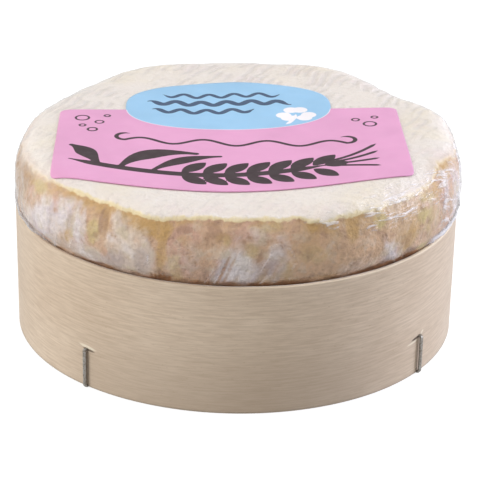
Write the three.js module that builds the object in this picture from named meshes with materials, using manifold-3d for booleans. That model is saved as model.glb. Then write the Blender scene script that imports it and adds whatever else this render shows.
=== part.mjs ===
// A small soft-ripened cheese in the open bottom half of its round veneer box.
// The cheese is sealed in clear film and stands proud of the rim; a die-cut paper label lies on top.
// Millimetres, +Z up. The origin is the middle of the box's underside and the front faces -Y.
// Azimuths are in degrees round +Z: 0 is the front, 90 is +X, the right-hand side.
import * as THREE from "three";
import { mergeVertices } from "three/addons/utils/BufferGeometryUtils.js";
import Module from "manifold-3d";

// The box: a strip of peeled veneer bent into a ring and lapped on itself at the back
const BOX_RADIUS = 43;
const BAND_HEIGHT = 25.4;
const VENEER = 0.9;
const LAP_START = 170;
const LAP_END = 200;
const LAP_RAMP = 14;
const BAND_SEGMENTS = 120;

// The bottom board, pushed into the ring until it is flush with the ring's lower edge
const BOARD = 2.2;
const BOARD_GAP = 0.3;

// Wire staples: four hook under the board's edge, two hold the lap
const WIRE_WIDTH = 0.75;
const WIRE_THICKNESS = 0.5;
const WIRE_GAP = 0.15;
const WIRE_STANDOFF = 0.2;
const WIRE_BEND = 0.45;
const HOOK_AZIMUTHS = [-38.8, 54, 144, 231];
const HOOK_TOP = 8.1;
const HOOK_FOOT = 6;
const HOOK_TOE = 1.5;
const HOOK_LIFT = 0.05;
const SEAM_AZIMUTHS = [179, 191];
const SEAM_LOW = 8.4;
const SEAM_HIGH = 16.6;

// The cheese in its film. Radii and heights follow its outline from the board to the middle of the top
const CHEESE_GAP = 0.3;
const CHEESE_HEIGHT = 39.2;
const CHEESE_WALL = 41.2;
const CHEESE_HEEL = 4;
const CHEESE_BELLY = 43.2;
const BELLY_HEIGHT = 30.6;
const SHOULDER_RADIUS = 39.8;
const SHOULDER_DROP = 0.9;
const PLATEAU_RADIUS = 31;
const CHEESE_COLUMNS = 96;

// How far each curve of that outline runs on straight from its ends
const RIM_RUN = 2.2;
const BELLY_RUN = { below: 3, above: 3.9 };
const SHOULDER_RUN = { out: 2.4, down: 1.1, inward: 1.9, up: 1 };
const PLATEAU_RUN = 4;

// Inside the box it is round; it takes its own uneven form between these heights
const ROUND_UP_TO = BAND_HEIGHT - 1;
const UNEVEN_FROM = BAND_HEIGHT + 4;

// It stands a little crooked, its middle has sunk, and its front edge sags
const TOP_TILT = { x: 0.0144, y: 0.005 };
const TOP_DISH = 0.4;
const FRONT_SAG = { depth: 1, y: -29, spread: 21 };

// Above the rim its outline isn't a true circle: slow waves run round it, pushed out most at their azimuth
const WAVES = [
  { count: 1, size: 0.27, azimuth: -133 },
  { count: 2, size: 0.58, azimuth: 11 },
  { count: 3, size: 0.42, azimuth: -57 },
];

// Its shoulder swells out and up, or draws in, at these azimuths
const SWELLS = [
  { azimuth: -54, size: 1, spread: 14 },
  { azimuth: -24, size: 0.7, spread: 12 },
  { azimuth: 27, size: 0.8, spread: 14 },
  { azimuth: 75, size: 0.74, spread: 14 },
  { azimuth: 101, size: 0.68, spread: 11 },
  { azimuth: 126, size: -0.62, spread: 12 },
  { azimuth: 152, size: 0.48, spread: 13 },
  { azimuth: 211, size: 0.89, spread: 14 },
  { azimuth: 262, size: 0.2, spread: 16 },
];
const SWELL_RADIUS = 40.5;
const SWELL_REACH = 4.5;
const SWELL_LIFT = 0.8;

// The label: a rounded panel with a bowed front edge, and an oval plaque across its back edge
const LABEL_WIDTH = 66.2;
const LABEL_DEPTH = 34.5;
const LABEL_CORNER = 2;
const LABEL_BOW = 5.6;
const BOW_AT_CORNER = 0.4;
const LABEL_CENTRE = { x: -1.3, y: -6.8 };
const LABEL_TURN = 2;
const LABEL_PAPER = 0.3;
const LABEL_GAP = 0.3;
const LABEL_HOLD = 39.5;
const LABEL_SLOPE = 0.3;
const LABEL_CELL = 3.2;
const PLAQUE_HALF_WIDTH = 20.3;
const PLAQUE_HALF_DEPTH = 12.6;
const PLAQUE_CENTRE = { x: 0, y: 19.4 };
const PLAQUE_POWER = 2.5;
const PLAQUE_POINTS = 48;

const wasm = await Module();
wasm.setup();

const radians = THREE.MathUtils.degToRad;
const smooth = THREE.MathUtils.smoothstep;

// The direction of an azimuth, seen from above
function heading(azimuth) {
  const turn = radians(azimuth - 90);
  return { x: Math.cos(turn), y: Math.sin(turn) };
}

function toSolid(geometry) {
  const bare = geometry.clone();
  bare.deleteAttribute("normal");
  bare.deleteAttribute("uv");
  const merged = mergeVertices(bare, 1e-4);
  return new wasm.Manifold(
    new wasm.Mesh({
      numProp: 3,
      vertProperties: new Float32Array(merged.attributes.position.array),
      triVerts: new Uint32Array(merged.index.array),
    }),
  );
}

function fromSolid(solid) {
  const mesh = solid.getMesh();
  const geometry = new THREE.BufferGeometry();
  geometry.setAttribute("position", new THREE.BufferAttribute(mesh.vertProperties, 3));
  geometry.setIndex(new THREE.BufferAttribute(mesh.triVerts, 1));
  geometry.computeVertexNormals();
  return geometry;
}

// One face of the strip as a closed outline. It steps at the end of the strip that shows on that face.
// Coming up to the lap the strip climbs by its own thickness, to pass outside its inner end.
function stripOutline(radius, stepAzimuth) {
  const climbed = LAP_START + 360;
  const points = [];
  for (let i = 0; i <= BAND_SEGMENTS; i++) {
    const azimuth = stepAzimuth + (360 * i) / BAND_SEGMENTS;
    const r = radius + VENEER * smooth(azimuth, climbed - LAP_RAMP, climbed);
    const toward = heading(azimuth);
    points.push(new THREE.Vector2(toward.x * r, toward.y * r));
  }
  return points;
}

// The staple's wire seen from its side: x runs outward from the box's axis, and y is height.
// grow thickens it, to cut the hole that the wire sits in.
function wireShape(corners, grow) {
  const shape = new THREE.Shape();
  const half = WIRE_THICKNESS / 2 + grow;
  const sides = corners.slice(1).map((corner, i) => corner.clone().sub(corners[i]).normalize());
  const offsets = corners.map((corner, i) => {
    const before = sides[Math.max(i - 1, 0)];
    const after = sides[Math.min(i, sides.length - 1)];
    const ends = new THREE.Vector2();
    if (i === 0) ends.addScaledVector(after, -grow);
    if (i === corners.length - 1) ends.addScaledVector(before, grow);
    const across = new THREE.Vector2(-before.y - after.y, before.x + after.x).normalize();
    const stretch = half / Math.sqrt((1 + before.dot(after)) / 2);
    return { corner: corner.clone().add(ends), across: across.multiplyScalar(stretch) };
  });
  const left = offsets.map((o) => o.corner.clone().add(o.across));
  const right = offsets.map((o) => o.corner.clone().sub(o.across)).reverse();
  shape.setFromPoints([...left, ...right]);
  return shape;
}

// A wire bent in a plane through the box's axis, turned to its azimuth
function wireSolid(corners, azimuth, grow) {
  const width = WIRE_WIDTH + 2 * grow;
  const geometry = new THREE.ExtrudeGeometry(wireShape(corners, grow), { depth: width, bevelEnabled: false });
  geometry.translate(0, 0, -width / 2);
  geometry.rotateX(Math.PI / 2);
  geometry.rotateZ(radians(azimuth - 90));
  return toSolid(geometry);
}

// Rounds each inner corner of a wire's centre line with a few chords
function bentLine(corners) {
  const line = new THREE.CurvePath();
  let from = corners[0];
  for (let i = 1; i < corners.length - 1; i++) {
    const corner = corners[i];
    const entry = corner.clone().add(corners[i - 1].clone().sub(corner).setLength(WIRE_BEND));
    const exit = corner.clone().add(corners[i + 1].clone().sub(corner).setLength(WIRE_BEND));
    line.add(new THREE.LineCurve(from, entry));
    line.add(new THREE.QuadraticBezierCurve(entry, corner, exit));
    from = exit;
  }
  line.add(new THREE.LineCurve(from, corners[corners.length - 1]));
  const points = line.curves.flatMap((c) => (c.isLineCurve ? [c.v1, c.v2] : c.getPoints(4)));
  return points.filter((point, i) => i === 0 || point.distanceTo(points[i - 1]) > 1e-3);
}

// From the hole in the veneer, down the outside, under the edge and up into the board
function hookLine() {
  const outside = BOX_RADIUS + WIRE_STANDOFF + WIRE_THICKNESS / 2;
  const under = HOOK_LIFT + WIRE_THICKNESS / 2;
  const over = HOOK_TOP - WIRE_THICKNESS / 2;
  const toe = BOX_RADIUS - HOOK_FOOT;
  return bentLine([
    new THREE.Vector2(BOX_RADIUS - VENEER, over),
    new THREE.Vector2(outside, over),
    new THREE.Vector2(outside, under),
    new THREE.Vector2(toe, under),
    new THREE.Vector2(toe, under + HOOK_TOE),
  ]);
}

// A plain U with both legs through the two layers of the lap
function seamLine() {
  const outside = BOX_RADIUS + VENEER + WIRE_STANDOFF + WIRE_THICKNESS / 2;
  const inside = BOX_RADIUS - VENEER;
  return bentLine([
    new THREE.Vector2(inside, SEAM_HIGH),
    new THREE.Vector2(outside, SEAM_HIGH),
    new THREE.Vector2(outside, SEAM_LOW),
    new THREE.Vector2(inside, SEAM_LOW),
  ]);
}

const staples = [
  ...HOOK_AZIMUTHS.map((azimuth, i) => ({ name: `base_staple_${i + 1}`, line: hookLine(), azimuth })),
  ...SEAM_AZIMUTHS.map((azimuth, i) => ({ name: `seam_staple_${i + 1}`, line: seamLine(), azimuth })),
];

// Takes the staples' holes and grooves out of a piece of the box
function pierced(solid) {
  return staples.reduce(
    (left, staple) => left.subtract(wireSolid(staple.line, staple.azimuth, WIRE_GAP)),
    solid,
  );
}

function bandGeometry() {
  const shape = new THREE.Shape(stripOutline(BOX_RADIUS, LAP_END));
  shape.holes.push(new THREE.Path(stripOutline(BOX_RADIUS - VENEER, LAP_START)));
  const ring = new THREE.ExtrudeGeometry(shape, { depth: BAND_HEIGHT, bevelEnabled: false });
  return fromSolid(pierced(toSolid(ring)));
}

function boardGeometry() {
  const radius = BOX_RADIUS - VENEER - BOARD_GAP;
  const disc = new THREE.CylinderGeometry(radius, radius, BOARD, BAND_SEGMENTS);
  disc.rotateX(Math.PI / 2);
  disc.translate(0, 0, BOARD / 2);
  return fromSolid(pierced(toSolid(disc)));
}

// The cheese's outline from the middle of its underside to the middle of its top, as {r, z} rows
function cheeseRows() {
  const floor = BOARD + CHEESE_GAP;
  const shoulder = CHEESE_HEIGHT - SHOULDER_DROP;
  const profile = new THREE.Path();
  profile.moveTo(0, floor);
  profile.lineTo(CHEESE_WALL - CHEESE_HEEL, floor);
  profile.quadraticCurveTo(CHEESE_WALL, floor, CHEESE_WALL, floor + CHEESE_HEEL);
  profile.lineTo(CHEESE_WALL, ROUND_UP_TO);
  profile.bezierCurveTo(
    CHEESE_WALL, ROUND_UP_TO + RIM_RUN,
    CHEESE_BELLY, BELLY_HEIGHT - BELLY_RUN.below, CHEESE_BELLY, BELLY_HEIGHT,
  );
  profile.bezierCurveTo(
    CHEESE_BELLY, BELLY_HEIGHT + BELLY_RUN.above,
    SHOULDER_RADIUS + SHOULDER_RUN.out, shoulder - SHOULDER_RUN.down, SHOULDER_RADIUS, shoulder,
  );
  profile.bezierCurveTo(
    SHOULDER_RADIUS - SHOULDER_RUN.inward, shoulder + SHOULDER_RUN.up,
    PLATEAU_RADIUS + PLATEAU_RUN, CHEESE_HEIGHT, PLATEAU_RADIUS, CHEESE_HEIGHT,
  );
  profile.lineTo(0, CHEESE_HEIGHT - TOP_DISH);
  const steps = [2, 2, 3, 5, 8, 5, 5];
  const points = profile.curves.flatMap((curve, i) => curve.getPoints(steps[i]).slice(i ? 1 : 0));
  return points.map((point) => ({ r: point.x, z: point.y }));
}

// How far the outline is pushed out at an azimuth by the slow waves
function waveAt(azimuth) {
  return WAVES.reduce((sum, w) => sum + w.size * Math.cos(radians(w.count * (azimuth - w.azimuth))), 0);
}

// The same for the shoulder's swellings
function swellAt(azimuth) {
  return SWELLS.reduce((sum, swell) => {
    const off = THREE.MathUtils.euclideanModulo(azimuth - swell.azimuth + 180, 360) - 180;
    return sum + swell.size * Math.exp(-((off / swell.spread) ** 2));
  }, 0);
}

// Where a row of the outline lies at an azimuth. Inside the box the cheese keeps the ring's round form
function cheesePoint(row, azimuth) {
  const free = smooth(row.z, ROUND_UP_TO, UNEVEN_FROM);
  const swell = free * swellAt(azimuth) * Math.exp(-(((row.r - SWELL_RADIUS) / SWELL_REACH) ** 2));
  const r = row.r * (1 + (free * waveAt(azimuth)) / CHEESE_BELLY) + swell;
  const toward = heading(azimuth);
  const x = toward.x * r;
  const y = toward.y * r;
  const top = smooth(row.z, UNEVEN_FROM, CHEESE_HEIGHT - SHOULDER_DROP);
  const sag = FRONT_SAG.depth * Math.exp(-(x * x + (y - FRONT_SAG.y) ** 2) / FRONT_SAG.spread ** 2);
  return new THREE.Vector3(x, y, row.z + top * (TOP_TILT.x * x + TOP_TILT.y * y - sag + SWELL_LIFT * swell));
}

const rows = cheeseRows();
const upperRows = rows.filter((row) => row.z >= BELLY_HEIGHT);

// Skins the rows into one closed solid with a vertex at each pole
function cheeseGeometry() {
  const inner = rows.slice(1, -1);
  const positions = [cheesePoint(rows[0], 0).toArray()];
  for (const row of inner) {
    for (let i = 0; i < CHEESE_COLUMNS; i++) {
      positions.push(cheesePoint(row, (360 * i) / CHEESE_COLUMNS).toArray());
    }
  }
  positions.push(cheesePoint(rows[rows.length - 1], 0).toArray());
  const last = positions.length - 1;
  const at = (j, i) => 1 + j * CHEESE_COLUMNS + (i % CHEESE_COLUMNS);
  const faces = [];
  for (let i = 0; i < CHEESE_COLUMNS; i++) {
    faces.push(0, at(0, i + 1), at(0, i));
    for (let j = 0; j + 1 < inner.length; j++) {
      faces.push(at(j, i), at(j, i + 1), at(j + 1, i + 1));
      faces.push(at(j, i), at(j + 1, i + 1), at(j + 1, i));
    }
    faces.push(at(inner.length - 1, i), at(inner.length - 1, i + 1), last);
  }
  const geometry = new THREE.BufferGeometry();
  geometry.setAttribute("position", new THREE.Float32BufferAttribute(positions.flat(), 3));
  geometry.setIndex(faces);
  geometry.computeVertexNormals();
  return geometry;
}

// The height of the cheese's upper face at a point seen from above, out to its shoulder
function topHeight(reach, azimuth) {
  const points = upperRows.map((row) => cheesePoint(row, azimuth));
  for (let i = 0; i + 1 < points.length; i++) {
    const outer = Math.hypot(points[i].x, points[i].y);
    const inner = Math.hypot(points[i + 1].x, points[i + 1].y);
    if (reach <= outer && reach >= inner) {
      return THREE.MathUtils.mapLinear(reach, outer, inner, points[i].z, points[i + 1].z);
    }
  }
  throw new Error(`the cheese has no upper face ${reach} mm from its axis`);
}

// The height of the label's middle layer. The stiff paper lies on the cheese as far as the shoulder
// and then runs on at a slope of its own, so that its corners stand a little clear
function paperHeight(x, y) {
  const reach = Math.hypot(x, y);
  const azimuth = THREE.MathUtils.radToDeg(Math.atan2(y, x)) + 90;
  const past = Math.max(reach - LABEL_HOLD, 0);
  return topHeight(reach - past, azimuth) - past * LABEL_SLOPE + LABEL_GAP + LABEL_PAPER / 2;
}

// The panel's outline round its own middle: straight back and sides, bowed front, round corners
function panelShape() {
  const side = LABEL_WIDTH / 2;
  const back = LABEL_DEPTH / 2;
  const c = LABEL_CORNER;
  const shape = new THREE.Shape();
  shape.moveTo(-side, back - c);
  shape.lineTo(-side, c - back);
  shape.quadraticCurveTo(-side, -back, c - side, -back - BOW_AT_CORNER);
  shape.quadraticCurveTo(0, -back - 2 * LABEL_BOW, side - c, -back - BOW_AT_CORNER);
  shape.quadraticCurveTo(side, -back, side, c - back);
  shape.lineTo(side, back - c);
  shape.quadraticCurveTo(side, back, side - c, back);
  shape.lineTo(c - side, back);
  shape.quadraticCurveTo(-side, back, -side, back - c);
  return shape;
}

// The plaque's outline, between an ellipse and a rectangle
function plaqueShape() {
  const power = 2 / PLAQUE_POWER;
  const points = [];
  for (let i = 0; i < PLAQUE_POINTS; i++) {
    const turn = (2 * Math.PI * i) / PLAQUE_POINTS;
    const c = Math.cos(turn);
    const s = Math.sin(turn);
    points.push(
      new THREE.Vector2(
        PLAQUE_CENTRE.x + PLAQUE_HALF_WIDTH * Math.sign(c) * Math.abs(c) ** power,
        PLAQUE_CENTRE.y + PLAQUE_HALF_DEPTH * Math.sign(s) * Math.abs(s) ** power,
      ),
    );
  }
  return new THREE.Shape(points);
}

// Turns and moves what is drawn round the label's own middle to its place on the cheese
function placeLabel(geometry) {
  geometry.rotateZ(radians(LABEL_TURN));
  return geometry.translate(LABEL_CENTRE.x, LABEL_CENTRE.y, 0);
}

// A flat sheet of the label's size, bent to lie just over the cheese's top
function drapedSheet() {
  const front = -LABEL_DEPTH / 2 - LABEL_BOW;
  const back = PLAQUE_CENTRE.y + PLAQUE_HALF_DEPTH + 0.5;
  const width = LABEL_WIDTH + 1;
  const depth = back - front;
  const cells = [width, depth].map((size) => Math.round(size / LABEL_CELL));
  const flat = new THREE.BoxGeometry(width, depth, LABEL_PAPER, ...cells, 1);
  const sheet = placeLabel(flat.translate(0, (back + front) / 2, 0));
  const position = sheet.attributes.position;
  for (let i = 0; i < position.count; i++) {
    const height = paperHeight(position.getX(i), position.getY(i));
    position.setZ(i, position.getZ(i) + height);
  }
  return sheet;
}

// The label is the sheet, die-cut to the outline of the panel and the plaque
function labelGeometry() {
  const options = { depth: 2 * CHEESE_HEIGHT, bevelEnabled: false, curveSegments: 12 };
  const [panel, plaque] = [panelShape(), plaqueShape()].map((shape) =>
    toSolid(placeLabel(new THREE.ExtrudeGeometry(shape, options))),
  );
  return fromSolid(toSolid(drapedSheet()).intersect(panel.add(plaque)));
}

function material(color, roughness, metalness = 0) {
  return new THREE.MeshStandardMaterial({ color, roughness, metalness });
}

const veneerWood = material(0xcbb699, 0.75);
const boardWood = material(0xd2bd9c, 0.8);
const staplePlating = material(0x8d8a84, 0.35, 0.9);
const rindInFilm = material(0xddcdb8, 0.4);
const printedPaper = material(0xe2a8cc, 0.55);

const camembert = new THREE.Group();

function addNode(name, geometry, finish) {
  const mesh = new THREE.Mesh(geometry, finish);
  mesh.name = name;
  camembert.add(mesh);
}

addNode("box_band", bandGeometry(), veneerWood);
addNode("box_base", boardGeometry(), boardWood);
for (const staple of staples) {
  addNode(staple.name, fromSolid(wireSolid(staple.line, staple.azimuth, 0)), staplePlating);
}
addNode("wrapped_cheese", cheeseGeometry(), rindInFilm);
addNode("label", labelGeometry(), printedPaper);

export default camembert;
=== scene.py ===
"""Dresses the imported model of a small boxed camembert: the cheese in its clear film, its paper label, its
veneer box and the staples that hold the box together, on a pale studio floor.

Shapes are worked out in millimetres and become metres when a mesh is made. An azimuth is in degrees round
the upright axis, 0 at the front (-Y) and 90 at +X. A climb is the length in mm along the cheese's skin
above the box's rim, so it goes on over the shoulder and across the top.
"""

import functools
import math

import bpy
import numpy as np
from bpy.props import FloatProperty, FloatVectorProperty, IntProperty, PointerProperty
from mathutils import Matrix, Vector
from mathutils.bvhtree import BVHTree


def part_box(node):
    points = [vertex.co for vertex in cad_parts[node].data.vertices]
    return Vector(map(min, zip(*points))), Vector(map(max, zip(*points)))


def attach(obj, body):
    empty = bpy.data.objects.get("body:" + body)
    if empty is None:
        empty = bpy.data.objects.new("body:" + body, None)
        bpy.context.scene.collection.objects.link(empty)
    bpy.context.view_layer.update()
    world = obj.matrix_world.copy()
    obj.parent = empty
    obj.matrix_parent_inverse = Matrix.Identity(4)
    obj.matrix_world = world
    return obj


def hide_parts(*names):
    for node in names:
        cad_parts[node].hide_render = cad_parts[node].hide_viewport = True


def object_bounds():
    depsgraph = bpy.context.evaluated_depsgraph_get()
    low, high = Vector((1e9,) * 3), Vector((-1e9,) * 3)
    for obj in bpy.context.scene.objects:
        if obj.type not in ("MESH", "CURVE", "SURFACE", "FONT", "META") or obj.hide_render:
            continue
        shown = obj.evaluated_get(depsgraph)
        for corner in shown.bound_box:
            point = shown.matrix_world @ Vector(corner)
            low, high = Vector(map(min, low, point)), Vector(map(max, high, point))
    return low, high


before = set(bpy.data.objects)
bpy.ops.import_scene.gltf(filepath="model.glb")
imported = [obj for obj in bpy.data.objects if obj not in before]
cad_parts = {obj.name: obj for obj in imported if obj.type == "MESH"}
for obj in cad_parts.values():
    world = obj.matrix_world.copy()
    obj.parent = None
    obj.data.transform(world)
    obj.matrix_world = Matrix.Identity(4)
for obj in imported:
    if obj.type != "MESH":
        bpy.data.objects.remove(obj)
cad_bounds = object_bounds()

bl_info = {
    "name": "Boxed camembert",
    "version": (1, 0, 0),
    "blender": (4, 5, 0),
    "location": "3D View > Sidebar > Camembert",
    "description": "Dresses a packed model of a boxed camembert with its rind, film, label and veneer",
    "category": "Object",
}

MM = 0.001
TO_MM = 1000.0


def node_box(name):
    """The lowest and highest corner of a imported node, in mm."""
    low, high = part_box(name)
    return np.array(low) * TO_MM, np.array(high) * TO_MM


BAND_HIGH = node_box("box_band")[1]
BOARD_LOW, BOARD_HIGH = node_box("box_base")
CHEESE_LOW, CHEESE_HIGH = node_box("wrapped_cheese")
RIM = float(BAND_HIGH[2])
BAND_RADIUS = float(BAND_HIGH[0])

# The photo's camera, from a fit to the box's two rims
CAMERA_AIM = (0.564, 0.0, 15.815)
CAMERA_DISTANCE = 376.82
CAMERA_ELEVATION = 23.71
CAMERA_ROLL = 1.114
CAMERA_LENS = 143.96
SENSOR_WIDTH = 36.0

# The staples, as in the solids
HOOK_AZIMUTHS = (-38.8, 54.0, 144.0, 231.0)
HOOK_TOP = 7.85
HOOK_TOE = 1.8
HOOK_FOOT = 6.0
SEAM_AZIMUTHS = (179.0, 191.0)
SEAM_LOW, SEAM_HIGH = 8.4, 16.6
WIRE_REACH = 0.45

# The veneer strip and its lap, as in the solids
VENEER = 0.9
LAP_START = 170.0
LAP_END = 200.0
LAP_RAMP = 14.0

# The slant of the draining mat's print
MAT_TURN = 64.0

# The label, as in the solids
LABEL_WIDTH = 66.2
LABEL_DEPTH = 34.5
LABEL_CORNER = 2.0
LABEL_BOW = 5.6
LABEL_BOW_START = 0.4
LABEL_GAP = 0.04
LABEL_CENTRE = (-1.3, -6.8)
LABEL_TURN = 2.0
PLAQUE_HALF_WIDTH = 20.3
PLAQUE_HALF_DEPTH = 12.6
PLAQUE_CENTRE = (0.0, 19.4)
PLAQUE_POWER = 2.5


# Small tools for numbers

def ramp(low, high, value):
    """Rises smoothly from 0 at low to 1 at high, also where high is the smaller one."""
    part = np.clip((value - low) / (high - low), 0.0, 1.0)
    return part * part * (3.0 - 2.0 * part)


def soft_noise(points, size, seed):
    """Smooth random values from about -1 to 1 at points in mm, with lumps of the given size."""
    slopes = np.random.default_rng(seed).normal(size=(4096, 3))
    slopes /= np.linalg.norm(slopes, axis=1, keepdims=True)
    places = np.asarray(points, float) / size
    cells = np.floor(places).astype(np.int64)
    part = places - cells
    faded = part**3 * (part * (part * 6.0 - 15.0) + 10.0)
    total = np.zeros(places.shape[:-1])
    for corner in np.ndindex(2, 2, 2):
        x, y, z = np.moveaxis(cells + corner, -1, 0)
        slope = slopes[(x * 73856093 ^ y * 19349663 ^ z * 83492791) % len(slopes)]
        weight = np.prod(np.where(corner, faded, 1.0 - faded), axis=-1)
        total += weight * np.sum(slope * (part - corner), axis=-1)
    return total * 1.6


def rough_noise(points, size, seed, octaves=3):
    """Soft noise with finer and weaker lumps added to it."""
    total = 0.0
    for step in range(octaves):
        total = total + soft_noise(points, size / 2**step, seed + step) / 2**step
    return total


def heading(azimuth):
    """The level unit vector at an azimuth, as x and y."""
    turn = np.radians(azimuth)
    return np.sin(turn), -np.cos(turn)


def distance_to_line(x, y, points):
    """The distance from each place to a line through points, and how far along it, from 0 to 1."""
    best = np.full(np.shape(x), np.inf)
    along = np.zeros(np.shape(x))
    pieces = len(points) - 1
    for i, ((ax, ay), (bx, by)) in enumerate(zip(points, points[1:])):
        dx, dy = bx - ax, by - ay
        part = np.clip(((x - ax) * dx + (y - ay) * dy) / max(dx * dx + dy * dy, 1e-12), 0.0, 1.0)
        away = np.hypot(x - ax - part * dx, y - ay - part * dy)
        along = np.where(away < best, (i + part) / pieces, along)
        best = np.minimum(best, away)
    return best, along


# Small tools for meshes and nodes

def add_attribute(mesh, name, values):
    """Keeps one number for each vertex of a mesh."""
    layer = mesh.attributes.new(name, "FLOAT", "POINT")
    layer.data.foreach_set("value", np.asarray(values, np.float32).ravel())


def make_piece(name, vertices, faces, material, attributes=None):
    """A smooth mesh object from vertices in mm, with its place in its mesh."""
    mesh = bpy.data.meshes.new(name)
    mesh.from_pydata((np.asarray(vertices) * MM).tolist(), [], faces)
    mesh.polygons.foreach_set("use_smooth", [True] * len(mesh.polygons))
    for key, values in (attributes or {}).items():
        add_attribute(mesh, key, values)
    mesh.materials.append(material)
    mesh.validate()
    piece = bpy.data.objects.new(name, mesh)
    bpy.context.scene.collection.objects.link(piece)
    return piece


def ring_faces(rows, columns, first=0):
    """Faces of a grid that closes round its columns."""
    row, column = np.meshgrid(np.arange(rows - 1), np.arange(columns), indexing="ij")
    after = (column + 1) % columns
    quads = np.stack([
        first + row * columns + column,
        first + row * columns + after,
        first + (row + 1) * columns + after,
        first + (row + 1) * columns + column,
    ], axis=-1)
    return quads.reshape(-1, 4).tolist()


def skin_mesh(rows):
    """Vertices and faces of a closed skin. The first and the last row are each one point."""
    inner = rows[1:-1]
    count, columns = inner.shape[:2]
    vertices = np.concatenate([inner.reshape(-1, 3), rows[0, :1], rows[-1, :1]])
    foot, crown = count * columns, count * columns + 1
    last = (count - 1) * columns
    faces = ring_faces(count, columns)
    faces += [(foot, (i + 1) % columns, i) for i in range(columns)]
    faces += [(crown, last + i, last + (i + 1) % columns) for i in range(columns)]
    return vertices, faces


def make_skin(name, rows, material, masks):
    """A closed skin as a piece, with its masks as one number for each vertex."""
    vertices, faces = skin_mesh(rows)
    kept = {}
    for key, mask in masks.items():
        kept[key] = np.concatenate([mask[1:-1].ravel(), mask[0, :1], mask[-1, :1]])
    return make_piece(name, vertices, faces, material, kept)


def solid_tree(name):
    """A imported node's faces, ready for rays in metres."""
    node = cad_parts[name]
    vertices = [node.matrix_world @ vertex.co for vertex in node.data.vertices]
    return BVHTree.FromPolygons(vertices, [tuple(face.vertices) for face in node.data.polygons])


def ride_in_box(piece, slot, *nodes):
    """Fixes a finished piece to the box and hides the nodes that it stands for. The finish that it is given
    is not used.
    """
    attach(piece, "root")
    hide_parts(*nodes)


class Value:
    """A node's output that is reckoned with like a number: each step adds a Math node to its tree."""

    def __init__(self, socket):
        self.socket = socket

    def __add__(self, other):
        return calc("ADD", self, other)

    def __sub__(self, other):
        return calc("SUBTRACT", self, other)

    def __mul__(self, other):
        return calc("MULTIPLY", self, other)

    def __truediv__(self, other):
        return calc("DIVIDE", self, other)


def fill(node, inputs):
    """Gives a node its inputs, by name or number, each a plain value or another node's output."""
    for key, value in inputs.items():
        if isinstance(value, Value):
            node.id_data.links.new(value.socket, node.inputs[key])
        else:
            node.inputs[key].default_value = value


def new_node(tree, kind, inputs=(), **settings):
    """Adds a node with its inputs."""
    node = tree.nodes.new(kind)
    node.location = (180 * (len(tree.nodes) % 12), -220 * (len(tree.nodes) // 12))
    for name, value in settings.items():
        setattr(node, name, value)
    fill(node, dict(inputs))
    return node


def add(tree, kind, inputs=(), output=0, **settings):
    """Adds a node and gives one of its outputs."""
    return Value(new_node(tree, kind, inputs, **settings).outputs[output])


def outputs_of(node):
    """A node's outputs by name."""
    return {socket.name: Value(socket) for socket in node.outputs}


def tree_of(*values):
    """The node tree of the first node's output among some values."""
    return next(value.socket.id_data for value in values if isinstance(value, Value))


def calc(operation, *values):
    """The result of a Math node."""
    return add(tree_of(*values), "ShaderNodeMath", enumerate(values), operation=operation)


def join_xyz(*parts):
    """A vector from three numbers."""
    return add(tree_of(*parts), "ShaderNodeCombineXYZ", enumerate(parts))


def split_xyz(vector):
    """The three numbers of a vector."""
    return outputs_of(new_node(tree_of(vector), "ShaderNodeSeparateXYZ", {0: vector})).values()


def ease(value, low, high, start=0.0, end=1.0):
    """A number that goes smoothly from start to end as the value goes from low to high."""
    inputs = enumerate((value, low, high, start, end))
    return add(tree_of(value), "ShaderNodeMapRange", inputs, interpolation_type="SMOOTHSTEP")


def lay_over(ground, layers):
    """A ground with colours laid over it one after another, each with its share."""
    for share, shade in layers:
        ground = blend(share, ground, shade)
    return ground


def colour(value):
    """A colour with its alpha, or a node's output as it is."""
    return value if isinstance(value, Value) else (*value, 1.0)


def blend(share, under, over, mode="MIX"):
    """One colour laid over another."""
    tree, inputs = tree_of(share, under, over), {0: share, 6: colour(under), 7: colour(over)}
    return add(tree, "ShaderNodeMix", inputs, output=2, data_type="RGBA", blend_type=mode)


def noise(vector, scale, detail=2.0, roughness=0.5):
    """The value of a noise texture."""
    inputs = {"Vector": vector, "Scale": scale, "Detail": detail, "Roughness": roughness}
    return add(tree_of(vector), "ShaderNodeTexNoise", inputs)


def bump(height, strength, distance, **more):
    """The normal that a height gives."""
    inputs = {"Height": height, "Strength": strength, "Distance": distance, **more}
    return add(tree_of(height), "ShaderNodeBump", inputs)


def place_on(tree):
    """The place on the piece, in metres."""
    return add(tree, "ShaderNodeTexCoord", output="Object")


def vertex_value(tree, name):
    """The number that a mesh keeps under a name for each vertex."""
    return add(tree, "ShaderNodeAttribute", output="Fac", attribute_name=name)


def new_group(kind, name, inputs, output_type, *outputs):
    """A node group whose inputs each have a default, or else the name of their type.

    Gives the group, its inputs by name and its output node.
    """
    group = bpy.data.node_groups.new(name, kind)
    types = {float: "NodeSocketFloat", int: "NodeSocketInt"}
    for label, default in inputs.items():
        socket_type = types.get(type(default), default)
        socket = group.interface.new_socket(name=label, in_out="INPUT", socket_type=socket_type)
        if type(default) in types:
            socket.default_value = default
    for label in outputs:
        group.interface.new_socket(name=label, in_out="OUTPUT", socket_type=output_type)
    return group, outputs_of(new_node(group, "NodeGroupInput")), new_node(group, "NodeGroupOutput")


def new_effect(name, inputs, *outputs):
    """A group of shader nodes that works on numbers."""
    return new_group("ShaderNodeTree", name, inputs, "NodeSocketFloat", *outputs)


def effect(maker, tree, **values):
    """Places a shared effect in a material with its own values, and gives its outputs by name."""
    group = bpy.data.node_groups.get(maker.__name__) or maker()
    inputs = {name.replace("_", " "): value for name, value in values.items()}
    return outputs_of(new_node(tree, "ShaderNodeGroup", inputs, node_tree=group))


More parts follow.
